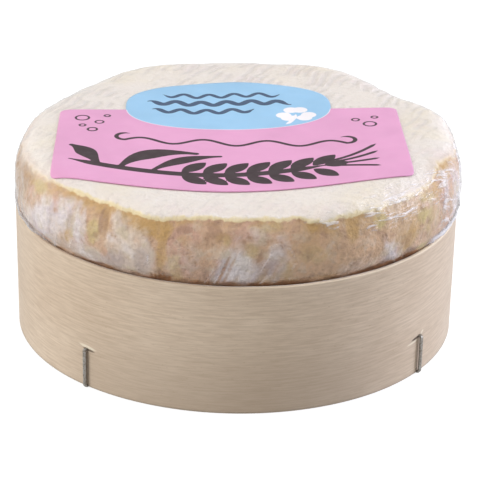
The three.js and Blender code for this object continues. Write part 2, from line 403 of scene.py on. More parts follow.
def new_material(name):
    """A material with a Principled shader, as the tree and the shader node."""
    material = bpy.data.materials.new(name)
    material.use_nodes = True
    return material, material.node_tree, material.node_tree.nodes["Principled BSDF"]


def run_geometry_nodes(name, base, tree, values):
    """A plain mesh object made by Geometry Nodes, from a base mesh and values for the named inputs."""
    piece = bpy.data.objects.new(name, base)
    bpy.context.scene.collection.objects.link(piece)
    modifier = piece.modifiers.new("Make", "NODES")
    modifier.node_group = tree
    for item in tree.interface.items_tree:
        if item.in_out == "INPUT" and item.name in values:
            modifier[item.identifier] = values[item.name]
    depsgraph = bpy.context.evaluated_depsgraph_get()
    made = piece.evaluated_get(depsgraph)
    mesh = bpy.data.meshes.new_from_object(made, preserve_all_data_layers=True, depsgraph=depsgraph)
    if not mesh.polygons:
        raise RuntimeError(f"{name} came out empty")
    piece.modifiers.clear()
    piece.data = mesh
    mesh.name = name
    bpy.data.meshes.remove(base)
    return piece


# Effects that several materials use

def fine_fibres():
    """Fine fibres that run level, as on peeled veneer and on the board."""
    inputs = {"Along": 0.0, "Across": 0.0, "Fibre": 0.0004, "Stretch": 40.0}
    group, given, result = new_effect("fine_fibres", inputs, "Fibres", "Bands", "Pores")
    across = given["Across"] / given["Fibre"]
    along = given["Along"] / given["Fibre"] / given["Stretch"]
    pores = noise(join_xyz(along * 6.0, across * 0.9, 3.0), 1.0, 1.0)
    fill(result, {
        "Fibres": noise(join_xyz(along, across, 0.0), 1.0, 3.0, 0.6),
        "Bands": noise(join_xyz(along * 0.4, across * 0.12, 7.0), 1.0),
        "Pores": ease(pores, 0.66, 0.78),
    })
    return group


def mottle():
    """Soft blotches of two sizes and a fine speckle, for rind and paper."""
    sizes = {"Large": 160.0, "Small": 600.0, "Speckle": 2500.0}
    group, given, result = new_effect("mottle", sizes, *sizes)
    place = place_on(group)
    for label, detail in (("Large", 2.0), ("Small", 3.0), ("Speckle", 2.0)):
        fill(result, {label: noise(place, given[label], detail, 0.55)})
    return group


def mat_print():
    """The slanting lines that the draining mat presses into the top, from -1 to 1."""
    group, given, result = new_effect("mat_print", {"Spacing": 0.0023}, "Ridge")
    place = place_on(group)
    x, y, _ = split_xyz(place)
    turn = math.radians(MAT_TURN)
    across = x * math.sin(turn) + y * -math.cos(turn)
    across = (noise(place, 130.0) - 0.5) * 0.0045 + across
    phase = across / given["Spacing"] * (2 * math.pi)
    patchy = ease(noise(place, 170.0, 3.0), 0.40, 0.58)
    strength = patchy * ease(y, -0.015, 0.012, 0.35, 1.0)
    fill(result, {"Ridge": calc("COSINE", phase) * strength})
    return group


def slanted(along, up, slant):
    """Lengths along and across a slant in degrees."""
    turn = calc("RADIANS", slant)
    sine, cosine = calc("SINE", turn), calc("COSINE", turn)
    return along * cosine + up * sine, up * cosine - along * sine


def drawn_film():
    """Fine streaks of drawn film along a slant in degrees, from 0 to 1. Its lengths are in mm."""
    inputs = {"Around": 0.0, "Up": 0.0, "Slant": 0.0, "Spacing": 0.6, "Length": 8.0}
    group, given, result = new_effect("drawn_film", inputs, "Streak")
    along, across = slanted(given["Around"], given["Up"], given["Slant"])
    sway = noise(join_xyz(along * 0.16, across * 0.35, 5.0), 1.0) - 0.5
    across = (sway * 3.0 + across) / given["Spacing"]
    wave = noise(join_xyz(along / given["Length"], across, 0.0), 1.0)
    fill(result, {"Streak": ease(wave, 0.46, 0.70)})
    return group


def nick():
    """A slanting oval mark on the veneer, from 0 outside it to 1. All its lengths are in mm."""
    inputs = {"Along": 0.0, "Up": 0.0, "Half Length": 1.5, "Half Height": 0.25, "Slant": 0.0}
    group, given, result = new_effect("nick", inputs, "Mark")
    long, high = slanted(given["Along"], given["Up"], given["Slant"])
    oval = join_xyz(long / given["Half Length"], high / given["Half Height"], 0.0)
    reach = add(group, "ShaderNodeVectorMath", {0: oval}, output="Value", operation="LENGTH")
    fill(result, {"Mark": ease(reach, 1.2, 0.6)})
    return group


# Settings that a user would change

def length_prop(name, description, default, low, high):
    """A length setting, from values in mm."""
    span = {"min": low * MM, "max": high * MM}
    return FloatProperty(name=name, description=description, default=default * MM, unit="LENGTH", **span)


def colour_prop(name, description, *default):
    """A colour setting."""
    return FloatVectorProperty(
        name=name, description=description, default=default, subtype="COLOR", min=0.0, max=1.0)


def light_prop(name, description):
    """A setting for how strong a light is."""
    return FloatProperty(name=name, description=description, default=1.0, min=0.0, max=5.0)


class BoxSettings(bpy.types.PropertyGroup):
    """The veneer box."""
    thickness: length_prop("Veneer thickness", "Thickness of the peeled veneer strip", 0.9, 0.3, 2.0)
    waviness: length_prop("Rim waviness", "How far the rim's upper edge dips at its lowest", 0.3, 0.0, 2.0)
    relief: length_prop("Grain relief", "Depth of the grain in the veneer's face", 0.05, 0.0, 0.5)
    pale: colour_prop("Pale wood", "Colour of the pale fibres", 0.66, 0.55, 0.435)
    dark: colour_prop("Dark wood", "Colour of the darker fibres", 0.55, 0.435, 0.325)
    cut: colour_prop("Cut edge", "Colour of the freshly cut edge at the rim", 0.57, 0.46, 0.35)


class StapleSettings(bpy.types.PropertyGroup):
    """The wire staples."""
    width: length_prop("Wire width", "Width of the flattened wire", 0.75, 0.3, 2.0)
    thickness: length_prop("Wire thickness", "Thickness of the flattened wire", 0.5, 0.2, 1.0)
    bend: length_prop("Bend radius", "Radius of the wire at its bends", 0.45, 0.1, 2.0)
    metal: colour_prop("Wire", "Colour of the wire", 0.36, 0.35, 0.33)


class RindSettings(bpy.types.PropertyGroup):
    """The cheese's rind."""
    columns: IntProperty(name="Columns", description="Faces round the cheese", default=760, min=96, max=900)
    ridge_depth: length_prop("Mat ridges", "Depth of the draining mat's print on the top", 0.16, 0.0, 1.0)
    ridge_spacing: length_prop("Ridge spacing", "Distance between the mat's lines", 2.3, 0.5, 10.0)
    crown: colour_prop("Top", "Creamy white mould of the top", 0.84, 0.77, 0.71)
    crest: colour_prop("Crest", "Yellow line round the edge of the white top", 0.82, 0.70, 0.42)
    tan: colour_prop("Side", "Tan rind of the side", 0.62, 0.405, 0.265)
    bloom: colour_prop("Bloom", "White mould in patches on the side", 0.74, 0.67, 0.68)
    ochre: colour_prop("Ochre", "Ochre band under the shoulder", 0.56, 0.345, 0.13)
    olive: colour_prop("Olive", "Yellowish blotches of the side", 0.58, 0.47, 0.19)
    brown: colour_prop("Brown", "Darkest blotches of the side", 0.30, 0.16, 0.09)


class FilmSettings(bpy.types.PropertyGroup):
    """The clear film round the cheese."""
    clearance: length_prop("Clearance", "Room between the rind and the film", 0.08, 0.02, 1.0)
    fold_height: length_prop("Fold height", "Height of the film's sharpest folds", 0.45, 0.0, 1.0)
    haze: colour_prop("Haze", "Colour of the film where it is creased", 0.95, 0.94, 0.98)


class LabelSettings(bpy.types.PropertyGroup):
    """The printed paper label."""
    paper: length_prop("Paper thickness", "Thickness of the paper", 0.12, 0.05, 0.5)
    field: colour_prop("Field", "Colour of the label's panel", 0.72, 0.35, 0.56)
    plaque: colour_prop("Plaque", "Colour of the label's plaque", 0.31, 0.545, 0.77)
    ink: colour_prop("Dark ink", "Colour of the dark motifs", 0.022, 0.016, 0.015)
    blue_ink: colour_prop("Blue ink", "Colour of the waves on the plaque", 0.03, 0.05, 0.11)
    white: colour_prop("White", "Unprinted paper", 0.86, 0.83, 0.86)


class StageSettings(bpy.types.PropertyGroup):
    """The floor and the studio light."""
    floor: colour_prop("Floor", "Colour of the floor", 0.30, 0.30, 0.30)
    sky: light_prop("Tent light", "Strength of the light tent")
    lamps: light_prop("Softboxes", "Strength of the softboxes")


# The stage

class CAMEMBERT_OT_set_stage(bpy.types.Operator):
    """Lays the floor, hangs the lights and sets the camera at the photo's angle"""
    bl_idname = "camembert.set_stage"
    bl_label = "Set the stage"

    def execute(self, context):
        settings = context.scene.camembert_stage
        place_camera(context.scene)
        lay_floor(settings)
        hang_tent(context.scene, settings)
        hang_softboxes(settings)
        context.scene.view_settings.view_transform = "Standard"
        return {"FINISHED"}


def place_camera(scene):
    """The camera at the photo's angle, with the photo's slight roll."""
    rise, roll = math.radians(CAMERA_ELEVATION), math.radians(CAMERA_ROLL)
    right = Vector((1.0, 0.0, 0.0))
    up = Vector((0.0, math.sin(rise), math.cos(rise)))
    back = Vector((0.0, -math.cos(rise), math.sin(rise)))
    rolled_right = right * math.cos(roll) + up * math.sin(roll)
    rolled_up = up * math.cos(roll) - right * math.sin(roll)
    turn = Matrix((rolled_right, rolled_up, back)).transposed().to_4x4()
    lens = bpy.data.cameras.new("camera")
    lens.lens = CAMERA_LENS
    lens.sensor_width = SENSOR_WIDTH
    lens.clip_start = 0.01
    camera = bpy.data.objects.new("camera", lens)
    place = (Vector(CAMERA_AIM) + back * CAMERA_DISTANCE) * MM
    camera.matrix_world = Matrix.Translation(place) @ turn
    scene.collection.objects.link(camera)
    scene.camera = camera


def lay_floor(settings):
    """A wide pale floor under the box."""
    material, tree, shader = new_material("pale_floor")
    cloud = ease(noise(place_on(tree), 6.0), 0.2, 0.8, 0.985, 1.0)
    rays = outputs_of(new_node(tree, "ShaderNodeLightPath"))
    fill(shader, {
        "Base Color": blend(1.0, settings.floor, cloud, "MULTIPLY"),
        "Roughness": 0.9,
        "Specular IOR Level": 0.0,
        "Emission Color": (1.0, 1.0, 1.0, 1.0),
        "Emission Strength": rays["Is Camera Ray"] * 0.85 + rays["Is Glossy Ray"] * 0.65,
    })
    half, drop = 1500.0, -0.02
    corners = [(-half, -half, drop), (half, -half, drop), (half, half, drop), (-half, half, drop)]
    make_piece("floor", corners, [(0, 1, 2, 3)], material)


def hang_tent(scene, settings):
    """A light tent: brightest at the sides, darker behind the camera."""
    world = bpy.data.worlds.new("light_tent")
    world.use_nodes = True
    x, y, z = split_xyz(add(world.node_tree, "ShaderNodeTexCoord", output="Generated"))
    light = calc("POWER", calc("ABSOLUTE", x), 4.0) * 1.45 + 0.44
    light = light + calc("MAXIMUM", y, 0.0) * 0.50 + calc("MAXIMUM", z, 0.0) * 0.14
    sheet = world.node_tree.nodes["Background"]
    fill(sheet, {"Color": (1.0, 0.985, 0.97, 1.0), "Strength": light * settings.sky})
    scene.world = world


def hang_softboxes(settings):
    """Softboxes at the left, the right and above: two of them are mirrored in the film."""
    # Name, place, width and height in mm, power in watts, tint, and whether it is mirrored
    boxes = (
        ("softbox_left", (-480, -260, 200), 300, 420, 1.70, (1.0, 0.99, 0.97), False),
        ("softbox_right", (560, 20, 190), 240, 360, 0.75, (0.94, 0.98, 1.16), True),
        ("fill_right", (540, 120, 190), 240, 360, 1.45, (0.93, 0.98, 1.20), False),
        ("softbox_top", (40, 200, 620), 520, 300, 0.28, (1.0, 0.99, 0.98), True),
    )
    for name, place, width, height, power, tint, mirrored in boxes:
        lamp = bpy.data.lights.new(name, "AREA")
        lamp.shape = "RECTANGLE"
        lamp.size, lamp.size_y = width * MM, height * MM
        lamp.energy = power * settings.lamps
        lamp.color = tint
        box = bpy.data.objects.new(name, lamp)
        box.visible_glossy = mirrored
        turn = (Vector((0.0, 0.0, 30.0)) - Vector(place)).to_track_quat("-Z", "Y").to_matrix().to_4x4()
        box.matrix_world = Matrix.Translation(Vector(place) * MM) @ turn
        bpy.context.scene.collection.objects.link(box)


# The veneer box

def geo_node(tree, kind, inputs=(), **settings):
    """Adds a Geometry node and gives its first output."""
    return add(tree, f"GeometryNode{kind}", inputs, **settings)


def finish_tree(tree, made, given, result):
    """Ends a tree of Geometry Nodes with smooth, real faces of its material."""
    made = geo_node(tree, "SetShadeSmooth", {"Geometry": made})
    made = geo_node(tree, "RealizeInstances", {"Geometry": made})
    made = geo_node(tree, "SetMaterial", {"Geometry": made, "Material": given["Material"]})
    fill(result, {"Geometry": made})


def rounded_section(tree, width, height, radius, count):
    """The section of a strip or a wire, with its rounded corners."""
    section = geo_node(tree, "CurvePrimitiveQuadrilateral", {"Width": width, "Height": height})
    rounded = {"Curve": section, "Count": count, "Radius": radius, "Limit Radius": True}
    return geo_node(tree, "FilletCurve", rounded, mode="POLY")


def sweep_along(tree, path, section):
    """A closed mesh from a section that runs along a path."""
    return geo_node(tree, "CurveToMesh", {"Curve": path, "Profile Curve": section, "Fill Caps": True})


def band_tree():
    """Geometry Nodes that bend a strip of veneer to a ring whose ends lap over each other."""
    tree, given, result = new_group("GeometryNodeTree", "Bent veneer strip", {
        "Radius": 0.043,
        "Height": 0.0254,
        "Thickness": 0.0009,
        "Lap Start": LAP_START,
        "Lap End": LAP_END,
        "Lap Ramp": LAP_RAMP,
        "Columns": 560,
        "Row Height": 0.0004,
        "Edge Radius": 0.00018,
        "Relief": 0.00007,
        "Waviness": 0.0003,
        "Material": "NodeSocketMaterial",
    }, "NodeSocketGeometry", "Geometry")
    radius, height, thickness = given["Radius"], given["Height"], given["Thickness"]
    start = given["Lap Start"]

    line = geo_node(tree, "CurvePrimitiveLine")
    path = geo_node(tree, "ResampleCurve", {"Curve": line, "Count": given["Columns"]})
    share = geo_node(tree, "SplineParameter", output="Factor")
    kept = new_node(tree, "GeometryNodeCaptureAttribute")
    kept.capture_items.new("FLOAT", "Share")
    fill(kept, {"Geometry": path, "Share": share})
    kept = outputs_of(kept)

    sweep = given["Lap End"] + 360.0 - start
    azimuth = share * sweep + start
    over = start + 360.0
    lift = ease(azimuth, over - given["Lap Ramp"], over)
    reach = lift * thickness + (radius - thickness * 0.5)
    turn = calc("RADIANS", azimuth)
    place = join_xyz(reach * calc("SINE", turn), reach * (calc("COSINE", turn) * -1.0), height * 0.5)
    path = geo_node(tree, "SetPosition", {"Geometry": kept["Geometry"], "Position": place})
    path = geo_node(tree, "SetCurveNormal", {"Curve": path}, mode="Z_UP")

    section = rounded_section(tree, thickness, height, given["Edge Radius"], 3)
    spaced = {"Curve": section, "Length": given["Row Height"]}
    strip = sweep_along(tree, path, geo_node(tree, "ResampleCurve", spaced, mode="LENGTH"))
    along = kept["Share"] * radius * calc("RADIANS", sweep)
    stored = {"Geometry": strip, "Name": "along", "Value": along}
    strip = geo_node(tree, "StoreNamedAttribute", stored, data_type="FLOAT", domain="POINT")

    _, _, up = split_xyz(geo_node(tree, "InputPosition"))
    grain = noise(join_xyz(along * 45.0, up * 900.0, 0.0), 1.0)
    ripple = noise(join_xyz(along * 28.0, up * 60.0, 4.0), 1.0)
    depth = (ripple * 1.6 + grain) * (given["Relief"] * -1.0)
    sunk = {0: geo_node(tree, "InputNormal"), "Scale": depth}
    sunk = add(tree, "ShaderNodeVectorMath", sunk, operation="SCALE")
    wave = noise(join_xyz(along * 70.0, 0.0, 9.0), 1.0, 3.0)
    dip = wave * ease(up, height - 0.004, height) * given["Waviness"]
    offset = {0: sunk, 1: join_xyz(0.0, 0.0, dip * -1.0)}
    offset = add(tree, "ShaderNodeVectorMath", offset, operation="ADD")
    finish_tree(tree, geo_node(tree, "SetPosition", {"Geometry": strip, "Offset": offset}), given, result)
    return tree


DARK_FIBRE = (0.90, 0.875, 0.85)
PALE_FIBRE = (1.09, 1.09, 1.09)
BROWN_FLECK = (0.42, 0.30, 0.20)
PAINTED_LIT_CUT = (0.80, 0.68, 0.53)
DARKER_FOOT = (0.40, 0.31, 0.22)
PAINTED_FOOT_SHADE = (0.42, 0.33, 0.25)
TORN_LIP_AND_HIGHLIGHT = (0.82, 0.74, 0.60)
SPLIT_AND_SHADOW = (0.07, 0.045, 0.03)
# Marks that each staple leaves in the veneer: a torn lip, pale and with a painted highlight, and a dark
# split that also holds the painted shadow under the lip. Place along and height from the wire's top, half
# length, half height and slant, with the colour and its share
STAPLE_MARKS = (
    ((0.2, 0.45, 2.2, 0.34, -4.0, TORN_LIP_AND_HIGHLIGHT, 0.75), (0.5, -0.05, 1.5, 0.26, -4.0, SPLIT_AND_SHADOW, 0.80)),
    ((-2.2, -0.75, 1.9, 0.22, 4.0, TORN_LIP_AND_HIGHLIGHT, 0.80), (-1.2, -0.15, 1.5, 0.26, 5.0, SPLIT_AND_SHADOW, 0.95),
     (0.9, 0.40, 0.6, 0.30, 30.0, TORN_LIP_AND_HIGHLIGHT, 0.70)),
)


def staple_marks(tree, wood, along, up):
    """The wood with the torn and split fibres round the top of each staple, and the torn lip's painted
    highlight and painted shadow.
    """
    for index, azimuth in enumerate(HOOK_AZIMUTHS):
        middle = math.radians((azimuth - LAP_START) % 360.0) * BAND_RADIUS
        for shift, rise, half_length, half_height, slant, shade, share in STAPLE_MARKS[index % 2]:
            near, high = along * TO_MM + (-middle - shift), up * TO_MM + (-HOOK_TOP - rise)
            size = {"Half_Length": half_length, "Half_Height": half_height, "Slant": slant}
            mark = effect(nick, tree, Along=near, Up=high, **size)["Mark"]
            wood = blend(mark * share, wood, shade)
    return wood


def veneer_material(settings):
    """Peeled poplar veneer: level fibres, broad pale and dark bands, a pale cut edge at the rim."""
    material, tree, shader = new_material("peeled_veneer")
    along = vertex_value(tree, "along")
    x, y, up = split_xyz(place_on(tree))
    fibres = effect(fine_fibres, tree, Along=along, Across=up, Fibre=0.00030, Stretch=34.0)
    wide = effect(fine_fibres, tree, Along=along, Across=up, Fibre=0.0011, Stretch=22.0)
    level = effect(fine_fibres, tree, Along=along, Across=up, Fibre=0.00037, Stretch=13.0)
    large = effect(mottle, tree, Large=45.0, Small=220.0, Speckle=1600.0)["Large"]

    share = wide["Bands"] * 0.5 + fibres["Fibres"] * 0.3 + wide["Fibres"] * 0.2 + large * 0.65
    wood = blend(ease(share, 0.45, 1.25), settings.pale, settings.dark)
    lines = blend(ease(level["Fibres"], 0.30, 0.70), DARK_FIBRE, PALE_FIBRE)
    wood = blend(1.0, wood, lines, "MULTIPLY")
    wood = blend(level["Pores"] * 0.40 + fibres["Pores"] * 0.22, wood, BROWN_FLECK)
    # The cut edge at the rim is painted lighter towards +X: a painted highlight where the light from the
    # right catches it
    cut = blend(ease(x, -5 * MM, 12 * MM), settings.cut, PAINTED_LIT_CUT)
    wood = blend(ease(up, (RIM - 0.45) * MM, (RIM - 0.25) * MM), wood, cut)
    # The veneer is darker in the last mm at its foot
    wood = blend(ease(up, 0.9 * MM, 0.1 * MM, 0.0, 0.35), wood, DARKER_FOOT)
    # The front is painted darker towards its foot: painted shade
    painted_shade = ease(y, -26 * MM, -40 * MM) * ease(up, 19 * MM, 2 * MM)
    wood = blend(painted_shade * 0.5, wood, PAINTED_FOOT_SHADE)
    height = wide["Fibres"] * 0.8 + fibres["Fibres"] + fibres["Pores"] * -0.5
    fill(shader, {
        "Base Color": staple_marks(tree, wood, along, up),
        "Roughness": ease(fibres["Fibres"], 0.3, 0.7, 0.62, 0.8),
        "Normal": bump(height, 0.22, 0.10 * MM),
        "Specular IOR Level": 0.25,
        "Sheen Weight": 0.35,
        "Sheen Roughness": 0.4,
    })
    return material


class CAMEMBERT_OT_bend_band(bpy.types.Operator):
    """Bends the veneer strip to the box's round wall"""
    bl_idname = "camembert.bend_band"
    bl_label = "Bend the veneer band"

    def execute(self, context):
        settings = context.scene.camembert_box
        # The strip's outer face lies a hair inside the solid's
        skin = 0.02 * MM
        band = run_geometry_nodes("veneer_band", bpy.data.meshes.new("strip"), band_tree(), {
            "Radius": BAND_RADIUS * MM - skin,
            "Height": RIM * MM,
            "Thickness": settings.thickness,
            "Relief": settings.relief,
            "Waviness": settings.waviness,
            "Material": veneer_material(settings),
        })
        ride_in_box(band, "veneer", "box_band")
        return {"FINISHED"}


BOARD_PORES = (0.36, 0.25, 0.16)


def board_material(settings):
    """Rough poplar board with straight fibres and saw marks."""
    material, tree, shader = new_material("poplar_board")
    place = place_on(tree)
    x, y, z = split_xyz(place)
    grain = effect(fine_fibres, tree, Along=x, Across=y + z, Fibre=0.0007, Stretch=18.0)
    fibres = grain["Fibres"]
    wood = blend(fibres, settings.pale, settings.dark)
    wood = blend(grain["Pores"] * 0.4, wood, BOARD_PORES)
    wood = blend(grain["Bands"] * 0.35, wood, settings.dark, "MULTIPLY")
    saw = {"Vector": place, "Scale": 420.0, "Distortion": 3.0, "Detail": 2.0}
    saw = add(tree, "ShaderNodeTexWave", saw, output="Fac")
    fill(shader, {
        "Base Color": wood,
        "Normal": bump(saw * 0.4 + fibres, 0.5, 0.2 * MM),
        "Roughness": ease(fibres, 0.3, 0.7, 0.7, 0.9),
    })
    return material


class CAMEMBERT_OT_cut_board(bpy.types.Operator):
    """Cuts the round bottom board with its softened edges"""
    bl_idname = "camembert.cut_board"
    bl_label = "Cut the bottom board"

    def execute(self, context):
        radius, low, high = float(BOARD_HIGH[0]), float(BOARD_LOW[2]), float(BOARD_HIGH[2])
        soft, columns = 0.25, 180
        turns = np.radians(np.arange(0, 91, 15))
        foot = [(radius - soft + soft * math.sin(t), low + soft - soft * math.cos(t)) for t in turns]
        lip = [(radius - soft + soft * math.cos(t), high - soft + soft * math.sin(t)) for t in turns]
        inward = [radius * share for share in (0.85, 0.65, 0.45, 0.25, 0.1)]
        profile = [(0.0, low)] + [(r, low) for r in reversed(inward)] + foot + lip
        profile += [(r, high) for r in inward] + [(0.0, high)]
        sine, minus_cosine = heading(np.arange(columns) * 360.0 / columns)
        rows = np.array([
            np.stack([r * sine, r * minus_cosine, np.full(columns, z)], axis=-1) for r, z in profile
        ])
        sag = 0.05 * np.abs(soft_noise(rows, 9.0, 31))
        rows[..., 2] += np.where(rows[..., 2] > (low + high) / 2, -sag, sag * 0.4)
        board = make_piece("bottom_board", *skin_mesh(rows), board_material(context.scene.camembert_box))
        ride_in_box(board, "board", "box_base")
        return {"FINISHED"}


# The staples

def wire_tree():
    """Geometry Nodes that sweep a flattened wire along bent paths."""
    tree, given, result = new_group("GeometryNodeTree", "Bent flat wire", {
        "Paths": "NodeSocketGeometry",
        "Width": 0.00075,
        "Thickness": 0.0005,
        "Bend": 0.00045,
        "Material": "NodeSocketMaterial",
    }, "NodeSocketGeometry", "Geometry")
    path = geo_node(tree, "MeshToCurve", {0: given["Paths"]})
    bent = {"Curve": path, "Count": 8, "Radius": given["Bend"], "Limit Radius": True}
    path = geo_node(tree, "FilletCurve", bent, mode="POLY")
    side = geo_node(tree, "InputNamedAttribute", {"Name": "side"}, data_type="FLOAT_VECTOR")
    path = geo_node(tree, "SetCurveNormal", {"Curve": path, "Normal": side}, mode="FREE")
    section = rounded_section(tree, given["Width"], given["Thickness"], given["Thickness"] * 0.42, 5)
    finish_tree(tree, sweep_along(tree, path, section), given, result)
    return tree


def wire_paths(name, line, azimuths):
    """A mesh of one bent line for each azimuth, from points of radius and height in mm."""
    vertices, edges, sides = [], [], []
    for azimuth in azimuths:
        x, y = heading(azimuth)
        first = len(vertices)
        vertices += [(radius * x * MM, radius * y * MM, height * MM) for radius, height in line]
        edges += [(first + i, first + i + 1) for i in range(len(line) - 1)]
        sides += [(-y, x, 0.0)] * len(line)
    mesh = bpy.data.meshes.new(name)
    mesh.from_pydata(vertices, edges, [])
    layer = mesh.attributes.new("side", "FLOAT_VECTOR", "POINT")
    layer.data.foreach_set("vector", np.array(sides, np.float32).ravel())
    return mesh


DULLED_WIRE = (0.20, 0.17, 0.14)


def wire_material(settings):
    """Plated steel wire, dulled in places."""
    material, tree, shader = new_material("staple_wire")
    spots = effect(mottle, tree, Large=900.0, Small=2600.0, Speckle=9000.0)
    fill(shader, {
        "Base Color": blend(ease(spots["Small"], 0.35, 0.7), settings.metal, DULLED_WIRE),
        "Roughness": ease(spots["Large"], 0.3, 0.7, 0.28, 0.5),
        "Normal": bump(spots["Speckle"], 0.2, 0.05 * MM),
        "Metallic": 0.85,
    })
    return material


class CAMEMBERT_OT_drive_staples(bpy.types.Operator):
    """Bends and drives the wire staples at the foot of the box and at the lap"""
    bl_idname = "camembert.drive_staples"
    bl_label = "Drive the staples"

    def execute(self, context):
        settings = context.scene.camembert_staples
        tree, material = wire_tree(), wire_material(settings)
        outer = BAND_RADIUS + WIRE_REACH
        inner = BAND_RADIUS - VENEER
        floor_gap = 0.3
        hook = [(inner, HOOK_TOP), (outer, HOOK_TOP), (outer, floor_gap),
                (BAND_RADIUS - HOOK_FOOT, floor_gap), (BAND_RADIUS - HOOK_FOOT, HOOK_TOE)]
        lap = outer + VENEER
        seam = [(inner, SEAM_HIGH), (lap, SEAM_HIGH), (lap, SEAM_LOW), (inner, SEAM_LOW)]
        values = {"Width": settings.width, "Thickness": settings.thickness, "Bend": settings.bend,
                  "Material": material}
        hooks = run_geometry_nodes("base_staples", wire_paths("hooks", hook, HOOK_AZIMUTHS), tree, values)
        seams = run_geometry_nodes("seam_staples", wire_paths("seams", seam, SEAM_AZIMUTHS), tree, values)
        ride_in_box(hooks, "staple_wire", *[f"base_staple_{i}" for i in range(1, 5)])
        ride_in_box(seams, "staple_wire", "seam_staple_1", "seam_staple_2")
        return {"FINISHED"}


# The cheese's skin, read from its solid

FOOT_ROWS = 14
SIDE_FROM, SIDE_TO, SIDE_STEP = -1.6, 21.0, 0.32
TOP_ROWS = 40
SOLID_COLUMNS = 96
# The radius at which lengths round the side are measured
SIDE_RADIUS = 42.0


def cast_profile(solid, azimuth):
    """Points of the solid's outline in one upright half plane, as radius and height in mm."""
    x, y = heading(azimuth)
    middle = float(CHEESE_LOW[2] + CHEESE_HIGH[2]) / 2
    core = 28.0
    starts = [(r, -90.0) for r in np.linspace(0.3, core, 24)]
    starts += [(core, angle) for angle in np.linspace(-90, 90, 400)[1:-1]]
    starts += [(r, 90.0) for r in np.linspace(core, 0.3, 30)]
    points = []
    for radius, angle in starts:
        level, rise = math.cos(math.radians(angle)), math.sin(math.radians(angle))
        origin = Vector((radius * x, radius * y, middle)) * MM
        hit = solid.ray_cast(origin, Vector((level * x, level * y, rise)))[0]
        if hit is not None:
            points.append((math.hypot(hit.x, hit.y) * TO_MM, hit.z * TO_MM))
    points = np.array(points)
    points[0, 0] = points[-1, 0] = 0.0
    return points


def smooth_rows(values, times):
    """Evens out steps from row to row, with the first and the last row kept."""
    for _ in range(times):
        values[1:-1] = (values[:-2] + 2.0 * values[1:-1] + values[2:]) / 4.0
    return values


def more_columns(values, columns):
    """Values at more places round the axis, on the smoothest curve through the given ones."""
    waves = np.fft.rfft(values, axis=1)
    padded = np.zeros((values.shape[0], columns // 2 + 1), complex)
    padded[:, :waves.shape[1]] = waves
    return np.fft.irfft(padded, columns, axis=1) * columns / values.shape[1]


class Skin:
    """The cheese's outer form as a grid of rows and columns: points, normals, azimuths and climbs."""

    def __init__(self, columns):
        solid = solid_tree("wrapped_cheese")
        radii, heights, climbs = [], [], []
        nudge = 0.02
        for azimuth in np.arange(SOLID_COLUMNS) * 360.0 / SOLID_COLUMNS:
            outline = cast_profile(solid, azimuth + nudge)
            length = np.concatenate([[0.0], np.cumsum(np.linalg.norm(np.diff(outline, axis=0), axis=1))])
            above = int(np.argmax(outline[:, 1] > RIM))
            share = (RIM - outline[above - 1, 1]) / (outline[above, 1] - outline[above - 1, 1])
            length -= length[above - 1] + share * (length[above] - length[above - 1])
            places = np.concatenate([
                np.linspace(length[0], SIDE_FROM, FOOT_ROWS, endpoint=False),
                np.arange(SIDE_FROM, SIDE_TO, SIDE_STEP),
                np.linspace(SIDE_TO, length[-1], TOP_ROWS),
            ])
            radii.append(np.interp(places, length, outline[:, 0]))
            heights.append(np.interp(places, length, outline[:, 1]))
            climbs.append(places)
        radii = smooth_rows(np.array(radii).T, 6)
        heights = smooth_rows(np.array(heights).T, 6)
        heights[0] = heights[0].mean()
        heights[-1] = heights[-1].mean()
        radius, height, climb = (more_columns(v, columns) for v in (radii, heights, np.array(climbs).T))
        radius[0] = radius[-1] = 0.0
        azimuth = np.arange(columns) * 360.0 / columns
        x, y = heading(azimuth)
        self.points = np.stack([radius * x, radius * y, height], axis=-1)
        self.azimuth = np.broadcast_to((azimuth + 180.0) % 360.0 - 180.0, radius.shape)
        self.climb = climb
        self.normals = self.find_normals()

    def by_azimuth(self, table):
        """Each place's value, from a table of azimuths and values."""
        return np.interp(self.azimuth, *zip(*table))

    def find_normals(self):
        """Unit normals that point out of the cheese."""
        across = np.roll(self.points, -1, axis=1) - np.roll(self.points, 1, axis=1)
        up = np.gradient(self.points, axis=0)
        normals = np.cross(across, up)
        length = np.linalg.norm(normals, axis=-1, keepdims=True)
        normals = np.where(length > 1e-9, normals / np.maximum(length, 1e-9), 0.0)
        normals[0] = (0.0, 0.0, -1.0)
        normals[-1] = (0.0, 0.0, 1.0)
        return normals

    def round_length(self):
        """The length round the side in mm, from the front."""
        return np.radians(self.azimuth) * SIDE_RADIUS

    def moved(self, distance):
        """The grid's points moved out along the normals, by a distance in mm for each."""
        shift = np.array(distance, float)
        shift = np.broadcast_to(shift, self.climb.shape).copy()
        shift[0] = shift[0].mean()
        shift[-1] = shift[-1].mean()
        return self.points + self.normals * shift[..., None]


# Shades between the rind's main colours
PINKISH_TAN = (0.62, 0.385, 0.285)
OCHRE_TAN = (0.58, 0.39, 0.205)
BROWN_TAN = (0.45, 0.27, 0.17)
RIM_GAP_SHADE = (0.36, 0.165, 0.07)
PALE_TAN = (0.67, 0.53, 0.40)
ROSY_TAN = (0.70, 0.45, 0.275)
OLIVE_TAN = (0.60, 0.50, 0.34)
SHADED_BLOOM = (0.46, 0.37, 0.36)
WHITE_BLOOM_AND_HIGHLIGHT = (0.84, 0.79, 0.81)
GREY_BLOOM = (0.61, 0.52, 0.59)
CREAM_BLOOM = (0.74, 0.62, 0.51)
YELLOW_CROWN = (0.84, 0.75, 0.58)
PINK_CROWN = (0.83, 0.72, 0.69)
WHITE_CROWN = (0.88, 0.85, 0.82)
GREY_CROWN = (0.62, 0.57, 0.54)
